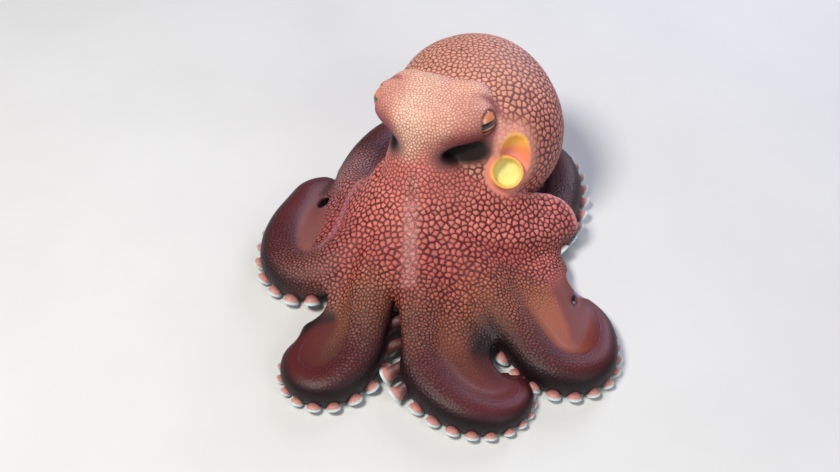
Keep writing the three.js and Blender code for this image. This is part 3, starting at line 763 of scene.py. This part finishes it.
        # Painted shade under each eye bulge.
        under_bulge_shade = (1 - ramp(gap(P, (at_[0], 25.0, 42.0), (8.4, 9.2, 4.8)), -1.4, 3.4)) * (1 - hollow_shade)
        base = mix(base, srgb(98, 34, 40), 0.8 * under_bulge_shade)
        # The lower part of each eye bulge painted darker: painted shade.
        bulge = (1 - ramp(np.linalg.norm(P - np.array([c[0] - sd * 3.4, 28.0, 44.0]), axis=1), 6.0, 11.5)) * head * (1 - ramp(z, 45, 52))
        base = mix(base, srgb(146, 70, 74), 0.6 * bulge * (1 - hollow_shade))
        # A reddish band on the crease behind each eye: partly the fold's own red, partly painted shade on its shaded
        # side.
        crease_red_and_shade = (1 - ramp(np.abs(np.linalg.norm(P - c, axis=1) - 6.6), 0.6, 2.2)) * ramp(P[:, 1], c[1] + 1.5, c[1] + 4.5) * head
        base = mix(base, srgb(150, 78, 84), 0.8 * crease_red_and_shade)
        lid = 1 - ramp(np.linalg.norm(P - c, axis=1), EYE_R + 0.15, EYE_R + 0.95)
        base = mix(base, srgb(120, 52, 54), 0.75 * lid)
    # Funnel and the mantle's opening.
    pt = (P - FUNNEL_MOUTH) @ FUNNEL_AX
    pr = np.linalg.norm(P - FUNNEL_MOUTH - pt[:, None] * FUNNEL_AX, axis=1)
    bore = (1 - ramp(pr, 3.9, 4.7)) * ramp(pt, -4.2, -3.0) * (1 - ramp(pt, 1.4, 2.2))
    lip = (1 - ramp(np.abs(pr - 4.9), 0.3, 1.0)) * (1 - ramp(np.abs(pt), 0.8, 2.0))
    side = (1 - ramp(np.abs(pr - 5.9), 0.9, 1.8)) * ramp(pt, -7, -4) * (1 - ramp(pt, 0.4, 1.2))
    pit = 1 - ramp(gap(P, PIT_AT + PIT_N * 1.6, (5.0, 4.0, 7.9), 2.2, PIT_TURN), -0.2, 0.6)
    around_ = 1 - ramp(gap(P, PIT_AT, (6.0, 5.0, 9.0), 2.3, PIT_TURN), 0.2, 2.0)
    clean = np.clip(np.maximum(np.maximum(pit, bore), np.maximum(lip, side)), 0, 1)
    base = mix(base, srgb(222, 150, 134), 0.7 * around_)
    base = mix(base, mix(srgb(232, 138, 92), srgb(250, 186, 84), ramp((P - PIT_AT) @ PIT_TURN[:, 2], 1.5, 6.0)), pit)
    base = mix(base, srgb(226, 140, 120), side)
    base = mix(base, srgb(244, 182, 88), lip)
    base = mix(base, srgb(236, 220, 132), bore)
    fade_ = 1 - ramp(gap(P, PIT_AT, (6.0, 5.0, 9.0), 2.3, PIT_TURN), 0.2, 4.2)
    net *= (1 - clean) * (1 - 0.8 * fade_)
    strand *= (1 - clean) * (1 - around_)
    # Underside: pale, without a net.
    sole = ramp(-NRM[:, 2], 0.5, 0.9) * (1 - ramp(z, 4, 10))
    base = mix(base, srgb(150, 96, 96), 0.8 * sole)
    net *= 1 - sole
    # Slit beside the pale spot on left arm two: near-black paint, the painted shade of the gap.
    d, at = polyline(P, [(41.9, 7.6), (41.8, 5.2), (42.9, 2.6)])
    slit_shade = (1 - ramp(d, 0.25, 0.75)) * ramp(z, 1.5, 3)
    base = mix(base, srgb(12, 6, 12), slit_shade)
    # Glint of pale violet along the raised left edge, where web meets arm two.
    d, at = polyline(P, [(-33, 30), (-37, 13), (-36, 0), (-38, -7)])
    skirt = (1 - ramp(d, 0.4, 1.8)) * ramp(z, 10, 13)
    base = mix(base, srgb(168, 136, 160), 0.30 * skirt)
    net *= 1 - 0.6 * skirt
    # Painted near-black shade in the groove carved between the front arms.
    d, at = polyline(P, [(-7.8, -15.5), (-6.0, -22.0), (-3.0, -33.0), (-1.0, -42.0)])
    cleft_shade = (1 - ramp(d, 1.8, 4.6)) * ramp(P[:, 1], -46, -36) * (1 - ramp(P[:, 1], -17, -14.5)) * (1 - ramp(z, 9.5, 13.5))
    base = mix(base, DEEP_SHADE, 0.9 * cleft_shade)
    net *= 1 - 0.6 * cleft_shade
    # Pale spot by the notch in the margin of left arm two.
    spot = 1 - ramp(np.linalg.norm(P - np.array([42.0, 8.6, 3.6]), axis=1), 1.4, 3.0)
    base = mix(base, srgb(186, 176, 214), 0.85 * spot)
    rid = np.where((head > 0.05) | (man > 0.05) | (z > 27), 6.0, rid)
    gloss = np.clip(0.3 + 0.7 * np.maximum(pit, bore) + 0.35 * streak, 0, 1)
    return dict(base=base, line=line, more=np.stack([gloss, streak, np.clip(net, 0, 1)], 1), rid=rid,
                net=np.clip(net, 0, 1), size=size, strand=np.clip(strand, 0, 1))


def scatter(P, reach, want):
    """Points of the mesh picked at random, no two nearer than their reach."""
    tree = kdtree.KDTree(len(P))
    for i, p in enumerate(P):
        tree.insert(p, i)
    tree.balance()
    free = bytearray(b"\x01") * len(P)
    out = []
    for i in RNG.permutation(len(P)).tolist():
        if free[i] and want[i]:
            out.append(i)
            for _, j, _ in tree.find_range(P[i], reach[i]):
                free[j] = 0
    return np.array(out)


def cells_of(P, NRM, Q, look):
    """The net: for every face the two nearest cell middles, and at its corners
    how far the line between them is."""
    reach = (look["size"] / 1.35).tolist()
    pts = [tuple(p) for p in P]
    site = scatter(pts, reach, (look["net"] > 0.03).tolist())
    S, SN = P[site], NRM[site]
    coarse = scatter([tuple(p) for p in S], (look["size"][site] * 2.1).tolist(), [True] * len(site))
    ct = kdtree.KDTree(len(coarse))
    for i, j in enumerate(coarse):
        ct.insert(S[j], i)
    ct.balance()
    group = np.array([ct.find(p)[1] for p in S + RNG.normal(0, 0.7, S.shape)])
    tree = kdtree.KDTree(len(S))
    for i, p in enumerate(S):
        tree.insert(p, i)
    tree.balance()
    mid = P[Q].mean(1)
    fn = NRM[Q].mean(1)
    near = np.array([[r[1] for r in tree.find_n(m, 5)] for m in mid])
    v = mid[:, None] - S[near]
    d = np.linalg.norm(v, axis=2)
    d = np.where(np.einsum("fa,fka->fk", fn, SN[near]) > -0.1, d, d + 50)
    o = np.argsort(d, 1)[:, :2]
    a, b = np.take_along_axis(near, o[:, :1], 1)[:, 0], np.take_along_axis(near, o[:, 1:], 1)[:, 0]
    C = P[Q]
    da = ((C - S[a][:, None]) ** 2).sum(2)
    db = ((C - S[b][:, None]) ** 2).sum(2)
    cell = (db - da) / (2 * np.linalg.norm(S[a] - S[b], axis=1)[:, None] + 1e-6)
    bad = np.take_along_axis(d, o, 1)[:, 1] > 6
    cell[bad] = 3.0
    # A sign that tells the two cells apart, so the line runs sharp between them.
    cell = np.where((a < b)[:, None], cell, -cell)
    tone = RNG.random(len(S))[a]
    out = np.sqrt(np.minimum(da, db)) / look["size"][Q]
    return cell, (group[a] != group[b]) & ~bad, tone, np.where(bad[:, None], 0, out), len(S)


def put_color(me, name, rgb):
    at = me.attributes.new(name, "FLOAT_COLOR", "POINT")
    at.data.foreach_set("color", np.concatenate([np.clip(rgb, 0, 1), np.ones((len(rgb), 1))], 1).astype(np.float32).ravel())


def put_float(me, name, v):
    at = me.attributes.new(name, "FLOAT", "POINT")
    at.data.foreach_set("value", np.asarray(v, np.float32))


class Graph:
    """Shader nodes by name, with links made as they are named."""

    def __init__(self, name):
        self.mat = bpy.data.materials.new(name)
        self.mat.use_nodes = True
        self.t = self.mat.node_tree
        self.bsdf = self.t.nodes["Principled BSDF"]

    def node(self, kind, **put):
        n = self.t.nodes.new(kind)
        for k, v in put.items():
            setattr(n, k, v)
        return n

    def wire(self, a, b):
        if isinstance(a, (int, float)):
            b.default_value = a
        elif isinstance(a, (tuple, list)):
            b.default_value = tuple(a) if len(a) == len(b.default_value) else (*a, 1.0)
        else:
            self.t.links.new(a, b)

    def math(self, op, a, b=0.0, c=0.0, clamp=False):
        n = self.node("ShaderNodeMath", operation=op, use_clamp=clamp)
        for i, v in enumerate((a, b, c)):
            if i < len(n.inputs):
                self.wire(v, n.inputs[i])
        return n.outputs[0]

    def vec(self, op, a, b=(0.0, 0.0, 0.0), scale=1.0):
        n = self.node("ShaderNodeVectorMath", operation=op)
        self.wire(a, n.inputs[0])
        if op == "SCALE":
            self.wire(scale, n.inputs["Scale"])
        else:
            self.wire(b, n.inputs[1])
        return n.outputs[0]

    def blend(self, k, a, b, how="MIX"):
        n = self.node("ShaderNodeMix", data_type="RGBA", blend_type=how, clamp_factor=True)
        self.wire(k, n.inputs[0]); self.wire(a, n.inputs[6]); self.wire(b, n.inputs[7])
        return n.outputs[2]

    def step(self, v, a, b, lo=0.0, hi=1.0):
        n = self.node("ShaderNodeMapRange", interpolation_type="SMOOTHSTEP", clamp=True)
        self.wire(v, n.inputs[0])
        for i, x in zip((1, 2, 3, 4), (a, b, lo, hi)):
            self.wire(x, n.inputs[i])
        return n.outputs[0]

    def attr(self, name, out="Color"):
        n = self.node("ShaderNodeAttribute", attribute_name=name)
        return n.outputs[out]

    def split(self, c):
        n = self.node("ShaderNodeSeparateColor")
        self.wire(c, n.inputs[0])
        return n.outputs[0], n.outputs[1], n.outputs[2]

    def noise(self, p, scale, detail=2.0, rough=0.5, out="Fac"):
        n = self.node("ShaderNodeTexNoise")
        self.wire(p, n.inputs["Vector"])
        n.inputs["Scale"].default_value = scale
        n.inputs["Detail"].default_value = detail
        n.inputs["Roughness"].default_value = rough
        return n.outputs[out]

    def cells(self, p, size, edge=True, rand=0.85):
        n = self.node("ShaderNodeTexVoronoi", feature="DISTANCE_TO_EDGE" if edge else "F1")
        self.wire(p, n.inputs["Vector"])
        n.inputs["Scale"].default_value = 1.0 / size
        n.inputs["Randomness"].default_value = rand
        return n.outputs["Distance"] if edge else n.outputs["Color"]

    def bump(self, height, dist, strength=1.0, normal=None):
        n = self.node("ShaderNodeBump")
        n.inputs["Strength"].default_value = strength
        n.inputs["Distance"].default_value = dist
        self.wire(height, n.inputs["Height"])
        if normal is not None:
            self.wire(normal, n.inputs["Normal"])
        return n.outputs[0]

    def millimetres(self):
        return self.vec("SCALE", self.node("ShaderNodeTexCoord").outputs["Object"], scale=1000.0)


def skin_material():
    g = Graph("skin")
    p = g.millimetres()
    base, line = g.attr("base"), g.attr("line")
    gloss, streak, net = g.split(g.attr("more"))
    rid, cell = g.attr("rid", "Fac"), g.attr("cell", "Fac")
    thick, bright, corner = g.split(g.attr("net"))
    fine = g.noise(p, 2.2, 3.0, 0.6)
    grain = g.noise(p, 6.0, 2.0, 0.6)
    broad = g.noise(p, 0.055, 3.0, 0.55)
    uneven = g.noise(p, 0.32, 2.0, 0.6)
    # Lines of the net: half as wide as "thick" says, in millimetres.
    d = g.math("ABSOLUTE", g.math("ADD", cell, g.math("MULTIPLY", g.math("SUBTRACT", g.noise(p, 1.3, 2.0), 0.5), 0.34)))
    d = g.math("SUBTRACT", d, g.math("MULTIPLY", corner, 0.55))
    w = g.math("MULTIPLY", thick, g.math("ADD", 0.25, g.math("MULTIPLY", uneven, 1.1)))
    lines = g.step(d, g.math("MULTIPLY", w, 0.30), g.math("ADD", g.math("MULTIPLY", w, 1.4), 0.12), 1.0, 0.0)
    lines = g.math("MULTIPLY", lines, net)
    dome = g.math("MULTIPLY", g.step(d, -0.1, 0.8), net)
    # Cells lighter toward their middles, plus a random tone per cell: the lighter middle is a painted highlight on each
    # puffed cell.
    tone = g.math("MULTIPLY", g.math("SUBTRACT", g.math("ADD", g.math("MULTIPLY", bright, 0.30), g.math("MULTIPLY", g.step(d, 0.0, 0.75), 0.52)), 0.46), net)
    lift = g.math("ADD", g.math("ADD", 1.0, tone), g.math("ADD", g.math("MULTIPLY", g.math("SUBTRACT", broad, 0.5), 0.46), g.math("MULTIPLY", g.math("SUBTRACT", fine, 0.5), 0.22)))
    col = g.vec("SCALE", base, scale=lift)
    dots = g.step(g.noise(p, 3.3, 1.0, 0.5), 0.62, 0.74)
    col = g.blend(g.math("MULTIPLY", dots, 0.10), col, g.vec("SCALE", base, scale=1.8))
    col = g.blend(g.math("MULTIPLY", lines, 0.92), col, line)
    motes = g.step(g.noise(p, 1.9, 4.0, 0.75), 0.50, 0.66)
    col = g.blend(g.math("MULTIPLY", g.math("MULTIPLY", streak, motes), 0.62), col, tuple(srgb(208, 170, 162)))
    # A pale violet line along the arms' ridge, broken up by noise: a painted glint; the same line also raises a small
    # ridge in the bump.
    wav = g.math("ADD", rid, g.math("MULTIPLY", g.math("SUBTRACT", g.noise(p, 0.5, 2.0), 0.5), 1.1))
    edge = g.step(g.math("ABSOLUTE", wav), 0.03, 0.34, 1.0, 0.0)
    glint_patches = g.step(g.noise(p, 0.16, 2.0), 0.36, 0.60)
    edge = g.math("MULTIPLY", edge, glint_patches)
    col = g.blend(g.math("MULTIPLY", edge, 0.24), col, tuple(srgb(104, 84, 122)))
    g.wire(col, g.bsdf.inputs["Base Color"])
    rough = g.math("ADD", g.math("SUBTRACT", 0.54, g.math("MULTIPLY", gloss, 0.20)), g.math("MULTIPLY", g.math("SUBTRACT", fine, 0.5), 0.20))
    g.wire(rough, g.bsdf.inputs["Roughness"])
    h = g.math("ADD", g.math("MULTIPLY", dome, 0.26), g.math("ADD", g.math("MULTIPLY", fine, 0.055), g.math("MULTIPLY", grain, 0.018)))
    h = g.math("ADD", h, g.math("MULTIPLY", edge, 0.12))
    g.wire(g.bump(h, 0.001, 0.8), g.bsdf.inputs["Normal"])
    b = g.bsdf.inputs
    b["Subsurface Weight"].default_value = 0.10
    b["Subsurface Radius"].default_value = (1.0, 0.35, 0.25)
    b["Subsurface Scale"].default_value = 0.0010
    b["Specular IOR Level"].default_value = 0.32
    b["Sheen Weight"].default_value = 0.06
    b["Sheen Roughness"].default_value = 0.30
    b["Sheen Tint"].default_value = (0.45, 0.40, 1.0, 1)
    return g.mat


look = paint(P, NRM)
print("painted", round(time.time() - T0, 1))
cell, major, tone, from_mid, n_cells = cells_of(P, NRM, Q, look)
print("cells", n_cells, round(time.time() - T0, 1))
# Each cell of the net stands a little proud of its lines.
_cnt = np.bincount(Q.ravel(), minlength=len(P))
_dv = np.bincount(Q.ravel(), np.abs(cell).ravel(), minlength=len(P)) / np.maximum(_cnt, 1)
_up = (smooth(_dv / (0.42 * look["size"])) - 0.55) * 0.085 * look["size"] * look["net"]
P = P + NRM * _up[:, None]
P[:, 2] = np.maximum(P[:, 2], 0)
skin = make_mesh("skin", P, Q)
for _k in ("base", "line", "more"):
    put_color(skin.data, _k, look[_k])
put_float(skin.data, "rid", look["rid"])
_at = skin.data.attributes.new("cell", "FLOAT", "CORNER")
_at.data.foreach_set("value", cell.astype(np.float32).ravel())
_wide = 0.072 * np.clip(look["size"], 1.0, 2.2)
_fat = (_wide + 0.36 * look["strand"] * (look["size"] / 2.2))[Q]
_wide = np.where(major[:, None], _fat, _wide[Q])
_rgb = np.stack([_wide, np.repeat(tone[:, None], 4, 1), np.clip((from_mid - 0.40) * look["size"][Q], 0, 1), np.ones_like(_wide)], -1)
_at = skin.data.attributes.new("net", "FLOAT_COLOR", "CORNER")
_at.data.foreach_set("color", _rgb.astype(np.float32).ravel())
skin.data.materials.append(skin_material())
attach(skin, "root")
FLESH = [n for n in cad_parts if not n.startswith("eye_")]
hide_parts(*FLESH)


# --------------------------------------------------------------------- eyes
def eye_material():
    g = Graph("eye")
    n = g.node("ShaderNodeAttribute", attribute_name="look")
    sx = g.node("ShaderNodeSeparateXYZ")
    g.wire(n.outputs["Vector"], sx.inputs[0])
    lon, lat, fwd = sx.outputs
    p = g.millimetres()
    fib = g.noise(p, 3.0, 3.0, 0.6)
    # Slit pupil: a level bar, a little bowed, rounded at its ends.
    bow = g.math("ADD", lat, g.math("MULTIPLY", g.math("MULTIPLY", lon, lon), 0.10))
    a = g.math("ABSOLUTE", bow)
    ends = g.math("MAXIMUM", g.math("SUBTRACT", g.math("ABSOLUTE", lon), 0.46), 0.0)
    d = g.math("SQRT", g.math("ADD", g.math("MULTIPLY", a, a), g.math("MULTIPLY", ends, ends)))
    lower = g.step(bow, -0.02, 0.02, 1.0, 0.0)
    col = g.blend(g.step(fib, 0.35, 0.7), tuple(srgb(206, 116, 84)), tuple(srgb(228, 150, 112)))
    col = g.blend(g.step(d, 0.62, 1.05), col, tuple(srgb(170, 92, 82)))
    dark = g.math("MULTIPLY", g.step(d, 0.47, 0.53, 1.0, 0.0), lower)
    col = g.blend(dark, col, tuple(srgb(24, 10, 12)))
    gold = g.step(d, 0.27, 0.31, 1.0, 0.0)
    col = g.blend(gold, col, tuple(srgb(206, 138, 88)))
    pupil = g.step(d, 0.165, 0.19, 1.0, 0.0)
    col = g.blend(pupil, col, (0.002, 0.0015, 0.002))
    g.wire(col, g.bsdf.inputs["Base Color"])
    g.wire(g.math("ADD", 0.10, g.math("MULTIPLY", fib, 0.10)), g.bsdf.inputs["Roughness"])
    g.wire(g.bump(fib, 0.00012, 0.4), g.bsdf.inputs["Normal"])
    g.bsdf.inputs["Coat Weight"].default_value = 0.8
    g.bsdf.inputs["Coat Roughness"].default_value = 0.04
    return g.mat


EYE_MAT = eye_material()
for side, name, c in ((-1, "eye_right", EYE_C[0]), (1, "eye_left", EYE_C[1])):
    nu, nv = ((64, 44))
    fwd = np.array([0.80 * side, -0.52, 0.30]); fwd /= np.linalg.norm(fwd)
    upv = np.array([0, 0, 1.0]) - fwd * fwd[2]; upv /= np.linalg.norm(upv)
    lef = np.cross(upv, fwd)
    th = np.pi * (np.arange(nv) + 1) / (nv + 1)
    ph = 2 * np.pi * np.arange(nu) / nu
    T_, F_ = np.meshgrid(th, ph, indexing="ij")
    dirs = np.stack([np.sin(T_) * np.cos(F_), np.sin(T_) * np.sin(F_), np.cos(T_)], -1).reshape(-1, 3)
    dirs = np.concatenate([dirs, [[0, 0, 1.0], [0, 0, -1.0]]])
    bulge = 1 + 0.035 * np.exp(-((1 - dirs[:, 2]) / 0.25) ** 2)
    pts = c + EYE_R * bulge[:, None] * (dirs[:, :1] * lef + dirs[:, 1:2] * upv + dirs[:, 2:] * fwd)
    faces = []
    for i in range(nv - 1):
        for j in range(nu):
            k = (j + 1) % nu
            faces.append((i * nu + j, (i + 1) * nu + j, (i + 1) * nu + k, i * nu + k))
    for j in range(nu):
        k = (j + 1) % nu
        faces.append((nv * nu, j, k))
        faces.append((nv * nu + 1, (nv - 1) * nu + k, (nv - 1) * nu + j))
    me = bpy.data.meshes.new("eyeball_" + name[4:])
    me.from_pydata([tuple(v) for v in row(pts)], [], faces)
    me.shade_smooth()
    at = me.attributes.new("look", "FLOAT_VECTOR", "POINT")
    ang = np.stack([np.arctan2(dirs[:, 0], dirs[:, 2]), np.arctan2(dirs[:, 1], np.hypot(dirs[:, 2], dirs[:, 0])), dirs[:, 2]], 1)
    at.data.foreach_set("vector", ang.astype(np.float32).ravel())
    ob = bpy.data.objects.new("eyeball_" + name[4:], me)
    bpy.context.scene.collection.objects.link(ob)
    me.materials.append(EYE_MAT)
    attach(ob, "root")
    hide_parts(name)


# ------------------------------------------------------------------- suckers
def sucker_material():
    g = Graph("sucker")
    p = g.millimetres()
    fine = g.noise(p, 3.0, 3.0, 0.6)
    col = g.vec("SCALE", g.attr("base"), scale=g.math("ADD", 0.72, g.math("MULTIPLY", fine, 0.56)))
    spots = g.step(g.noise(p, 1.6, 2.0, 0.6), 0.60, 0.68)
    col = g.blend(g.math("MULTIPLY", spots, g.math("MULTIPLY", g.attr("wall", "Fac"), 0.55)), col, tuple(srgb(96, 40, 44)))
    g.wire(col, g.bsdf.inputs["Base Color"])
    g.wire(g.math("ADD", 0.26, g.math("MULTIPLY", fine, 0.22)), g.bsdf.inputs["Roughness"])
    g.wire(g.bump(fine, 0.0003, 0.6), g.bsdf.inputs["Normal"])
    b = g.bsdf.inputs
    b["Subsurface Weight"].default_value = 0.15
    b["Subsurface Radius"].default_value = (1.0, 0.5, 0.4)
    b["Subsurface Scale"].default_value = 0.0008
    b["Specular IOR Level"].default_value = 0.5
    return g.mat


CUP = [(0.60, -0.9), (0.62, -0.25), (0.66, 0.10), (0.74, 0.36), (0.90, 0.58), (1.00, 0.74), (1.04, 0.86), (1.00, 0.96),
       (0.90, 1.00), (0.78, 0.96), (0.66, 0.84), (0.50, 0.72), (0.34, 0.66), (0.20, 0.72), (0.08, 0.84)]
CUP_KIND = [0, 0, 0, 0, 0.1, 0.7, 1, 1, 1, 0.9, 0.35, 0.0, -1, -1, -1]


def sucker_rows():
    pts, faces, cols, walls = [], [], [], []
    base_n = 0
    ring_n = 22
    a = 2 * np.pi * np.arange(ring_n) / ring_n
    rad, ax = np.array([c[0] for c in CUP]), np.array([c[1] for c in CUP])
    kind = np.array(CUP_KIND)
    # The rim colour is pale cyan-white: a painted glint on each cup's rim.
    wall_c, rim_glint_c, pit_c = srgb(196, 128, 116), srgb(206, 234, 236), srgb(150, 92, 88)
    for key in KEYS:
        ln = LINES[key]
        s = (0.30 if key in ("l4", "r4") else 0.14) * ln.L
        while s < 0.965 * ln.L:
            c, c2 = ln.at(s), ln.at(min(s + 0.5, ln.L))
            r = c["r"]
            pace = math.hypot(c2["x"] + c2["nx"] * ln.side * r - c["x"] - c["nx"] * ln.side * r,
                              c2["y"] + c2["ny"] * ln.side * r - c["y"] - c["ny"] * ln.side * r) / max(1e-6, min(s + 0.5, ln.L) - s)
            R = 0.37 * r * (1 + 0.06 * (RNG.random() - 0.5))
            hgt = 0.42 * r
            up_frac = float(np.clip(c["lift"] / 10.0, 0, 1))
            cleft = float(ramp(s, 24, 31) * (1 - ramp(s, 47, 54))) if key == "l1" else 0.0
            reach = 0.86 + 0.36 * cleft + (0.12 if key == "l3" else 0.0)
            R *= 1 + 0.16 * cleft
            tilt = math.radians(30 + 30 * max(up_frac, cleft) + (26 if key == "l3" else 0) + 6 * (RNG.random() - 0.5))
            out = np.array([c["nx"], c["ny"], 0]) * ln.side
            axis = out * math.sin(tilt) - np.array([0, 0, 1.0]) * math.cos(tilt)
            fwd = np.array([c["tx"], c["ty"], 0])
            oth = np.cross(axis, fwd)
            at = np.array([c["x"], c["y"], max(0, c["z"] - SINK * r)]) + out * r * reach + np.array([0, 0, 0.40 * r])
            at = at - axis * 0.10 * hgt
            ring = (fwd[None, :] * np.cos(a)[:, None] + oth[None, :] * np.sin(a)[:, None])
            ax_ = np.where(ax < 0, ax * (1 + 0.8 * cleft), ax)
            v = at + (ring[None] * (rad * R)[:, None, None]) + axis * (ax_ * hgt)[:, None, None]
            v = v.reshape(-1, 3)
            keep = kind.repeat(ring_n) >= -2
            low = v[ring_n * 4:, 2].min()
            if c["lift"] < 0.4 or low < 0.03:
                v[:, 2] += 0.03 - low
            v[:, 2] = np.maximum(v[:, 2], 0.03)
            k = len(CUP)
            i, j = np.meshgrid(np.arange(k - 1), np.arange(ring_n), indexing="ij")
            j2 = (j + 1) % ring_n
            f = np.stack([i * ring_n + j, (i + 1) * ring_n + j, (i + 1) * ring_n + j2, i * ring_n + j2], -1).reshape(-1, 4)[:, ::-1]
            # Root and middle of the cup are closed.
            q = np.arange(ring_n // 2 - 1)
            lid = np.stack([q, q + 1, ring_n - 2 - q, ring_n - 1 - q], -1)
            f = np.concatenate([f, lid[:, ::-1], lid + (k - 1) * ring_n])
            pts.append(v); faces.append(f + base_n)
            kk = kind.repeat(ring_n)
            col = mix(wall_c, rim_glint_c, np.clip(kk, 0, 1))
            col = mix(col, pit_c, (kk < 0) * 1.0)
            # The stalk darkens toward the arm, further in the cleft: painted shade where the cup sits under the arm.
            stalk_shade = mix(wall_c, srgb(60, 20, 24), 0.9)
            col = mix(col, stalk_shade, ramp(-ax.repeat(ring_n), -0.30 - 0.1 * cleft, 0.10))
            cols.append(col); walls.append(1 - np.clip(np.abs(kk), 0, 1))
            base_n += len(v)
            s += 1.0 * r / min(max(pace, 0.75), 2.2)
    return np.concatenate(pts), np.concatenate(faces), np.concatenate(cols), np.concatenate(walls)


sp, sf, sc, sw = sucker_rows()
suckers = make_mesh("suckers", sp, sf)
put_color(suckers.data, "base", sc)
put_float(suckers.data, "wall", sw)
suckers.data.materials.append(sucker_material())
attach(suckers, "root")
print("suckers", len(sf), round(time.time() - T0, 1))

# ---------------------------------------------------------------- the stage
bpy.ops.mesh.primitive_plane_add(size=6, location=(0, 0, 0))
floor = bpy.context.object
floor.name = "floor"
_f = Graph("floor")
_p = _f.millimetres()
_n = _f.noise(_p, 0.02, 4.0, 0.6)
_f.wire(_f.blend(_f.step(_n, 0.35, 0.65), tuple(srgb(209, 209, 207)), tuple(srgb(212, 212, 210))), _f.bsdf.inputs["Base Color"])
_f.wire(_f.math("ADD", 0.72, _f.math("MULTIPLY", _n, 0.15)), _f.bsdf.inputs["Roughness"])
fm = _f.mat
floor.data.materials.append(fm)

AZ, EL, DIST = math.radians(20), math.radians(47), 390.0
back = np.array([math.sin(AZ) * math.cos(EL), -math.cos(AZ) * math.cos(EL), math.sin(EL)])
right = np.array([math.cos(AZ), math.sin(AZ), 0.0])
up = np.cross(back, right)
PXK = 840 * 50 / 36
ray = (440 - 420) / PXK * right - (290 - 236) / PXK * up - back
eye0 = back * DIST
ground = eye0 + ray * (-eye0[2] / ray[2])
cam_at = eye0 - ground
cam = bpy.data.cameras.new("camera")
cam.lens, cam.sensor_width, cam.sensor_fit = 50, 36, "HORIZONTAL"
cam.clip_start, cam.clip_end = 0.01, 50
cob = bpy.data.objects.new("camera", cam)
bpy.context.scene.collection.objects.link(cob)
c = row(cam_at)
cob.matrix_world = Matrix([[right[0], up[0], back[0], c[0]], [right[1], up[1], back[1], c[1]], [right[2], up[2], back[2], c[2]], [0, 0, 0, 1]])
bpy.context.scene.camera = cob


def area(name, at, to, size, watts, color):
    l = bpy.data.lights.new(name, "AREA")
    l.shape, l.size, l.energy, l.color = "DISK", size, watts, color
    o = bpy.data.objects.new(name, l)
    bpy.context.scene.collection.objects.link(o)
    o.location = at
    o.rotation_euler = (Vector(at) - Vector(to)).to_track_quat("Z", "Y").to_euler()
    return o


bpy.context.scene.view_settings.view_transform = "Standard"
area("key", (-0.20, -0.24, 0.56), (0, 0, 0.02), 0.20, 3.9, (1.0, 0.96, 0.91))
area("fill", (0.45, -0.25, 0.35), (0, 0, 0.02), 0.35, 1.0, (0.9, 0.94, 1.0))
area("rim", (0.10, 0.5, 0.30), (0, 0, 0.02), 0.30, 1.8, (0.72, 0.76, 1.0))
world = bpy.data.worlds.new("world")
bpy.context.scene.world = world
world.use_nodes = True
world.node_tree.nodes["Background"].inputs[0].default_value = (0.9, 0.93, 1.0, 1)
world.node_tree.nodes["Background"].inputs[1].default_value = 0.20

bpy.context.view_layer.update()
print("scene", round(time.time() - T0, 1))
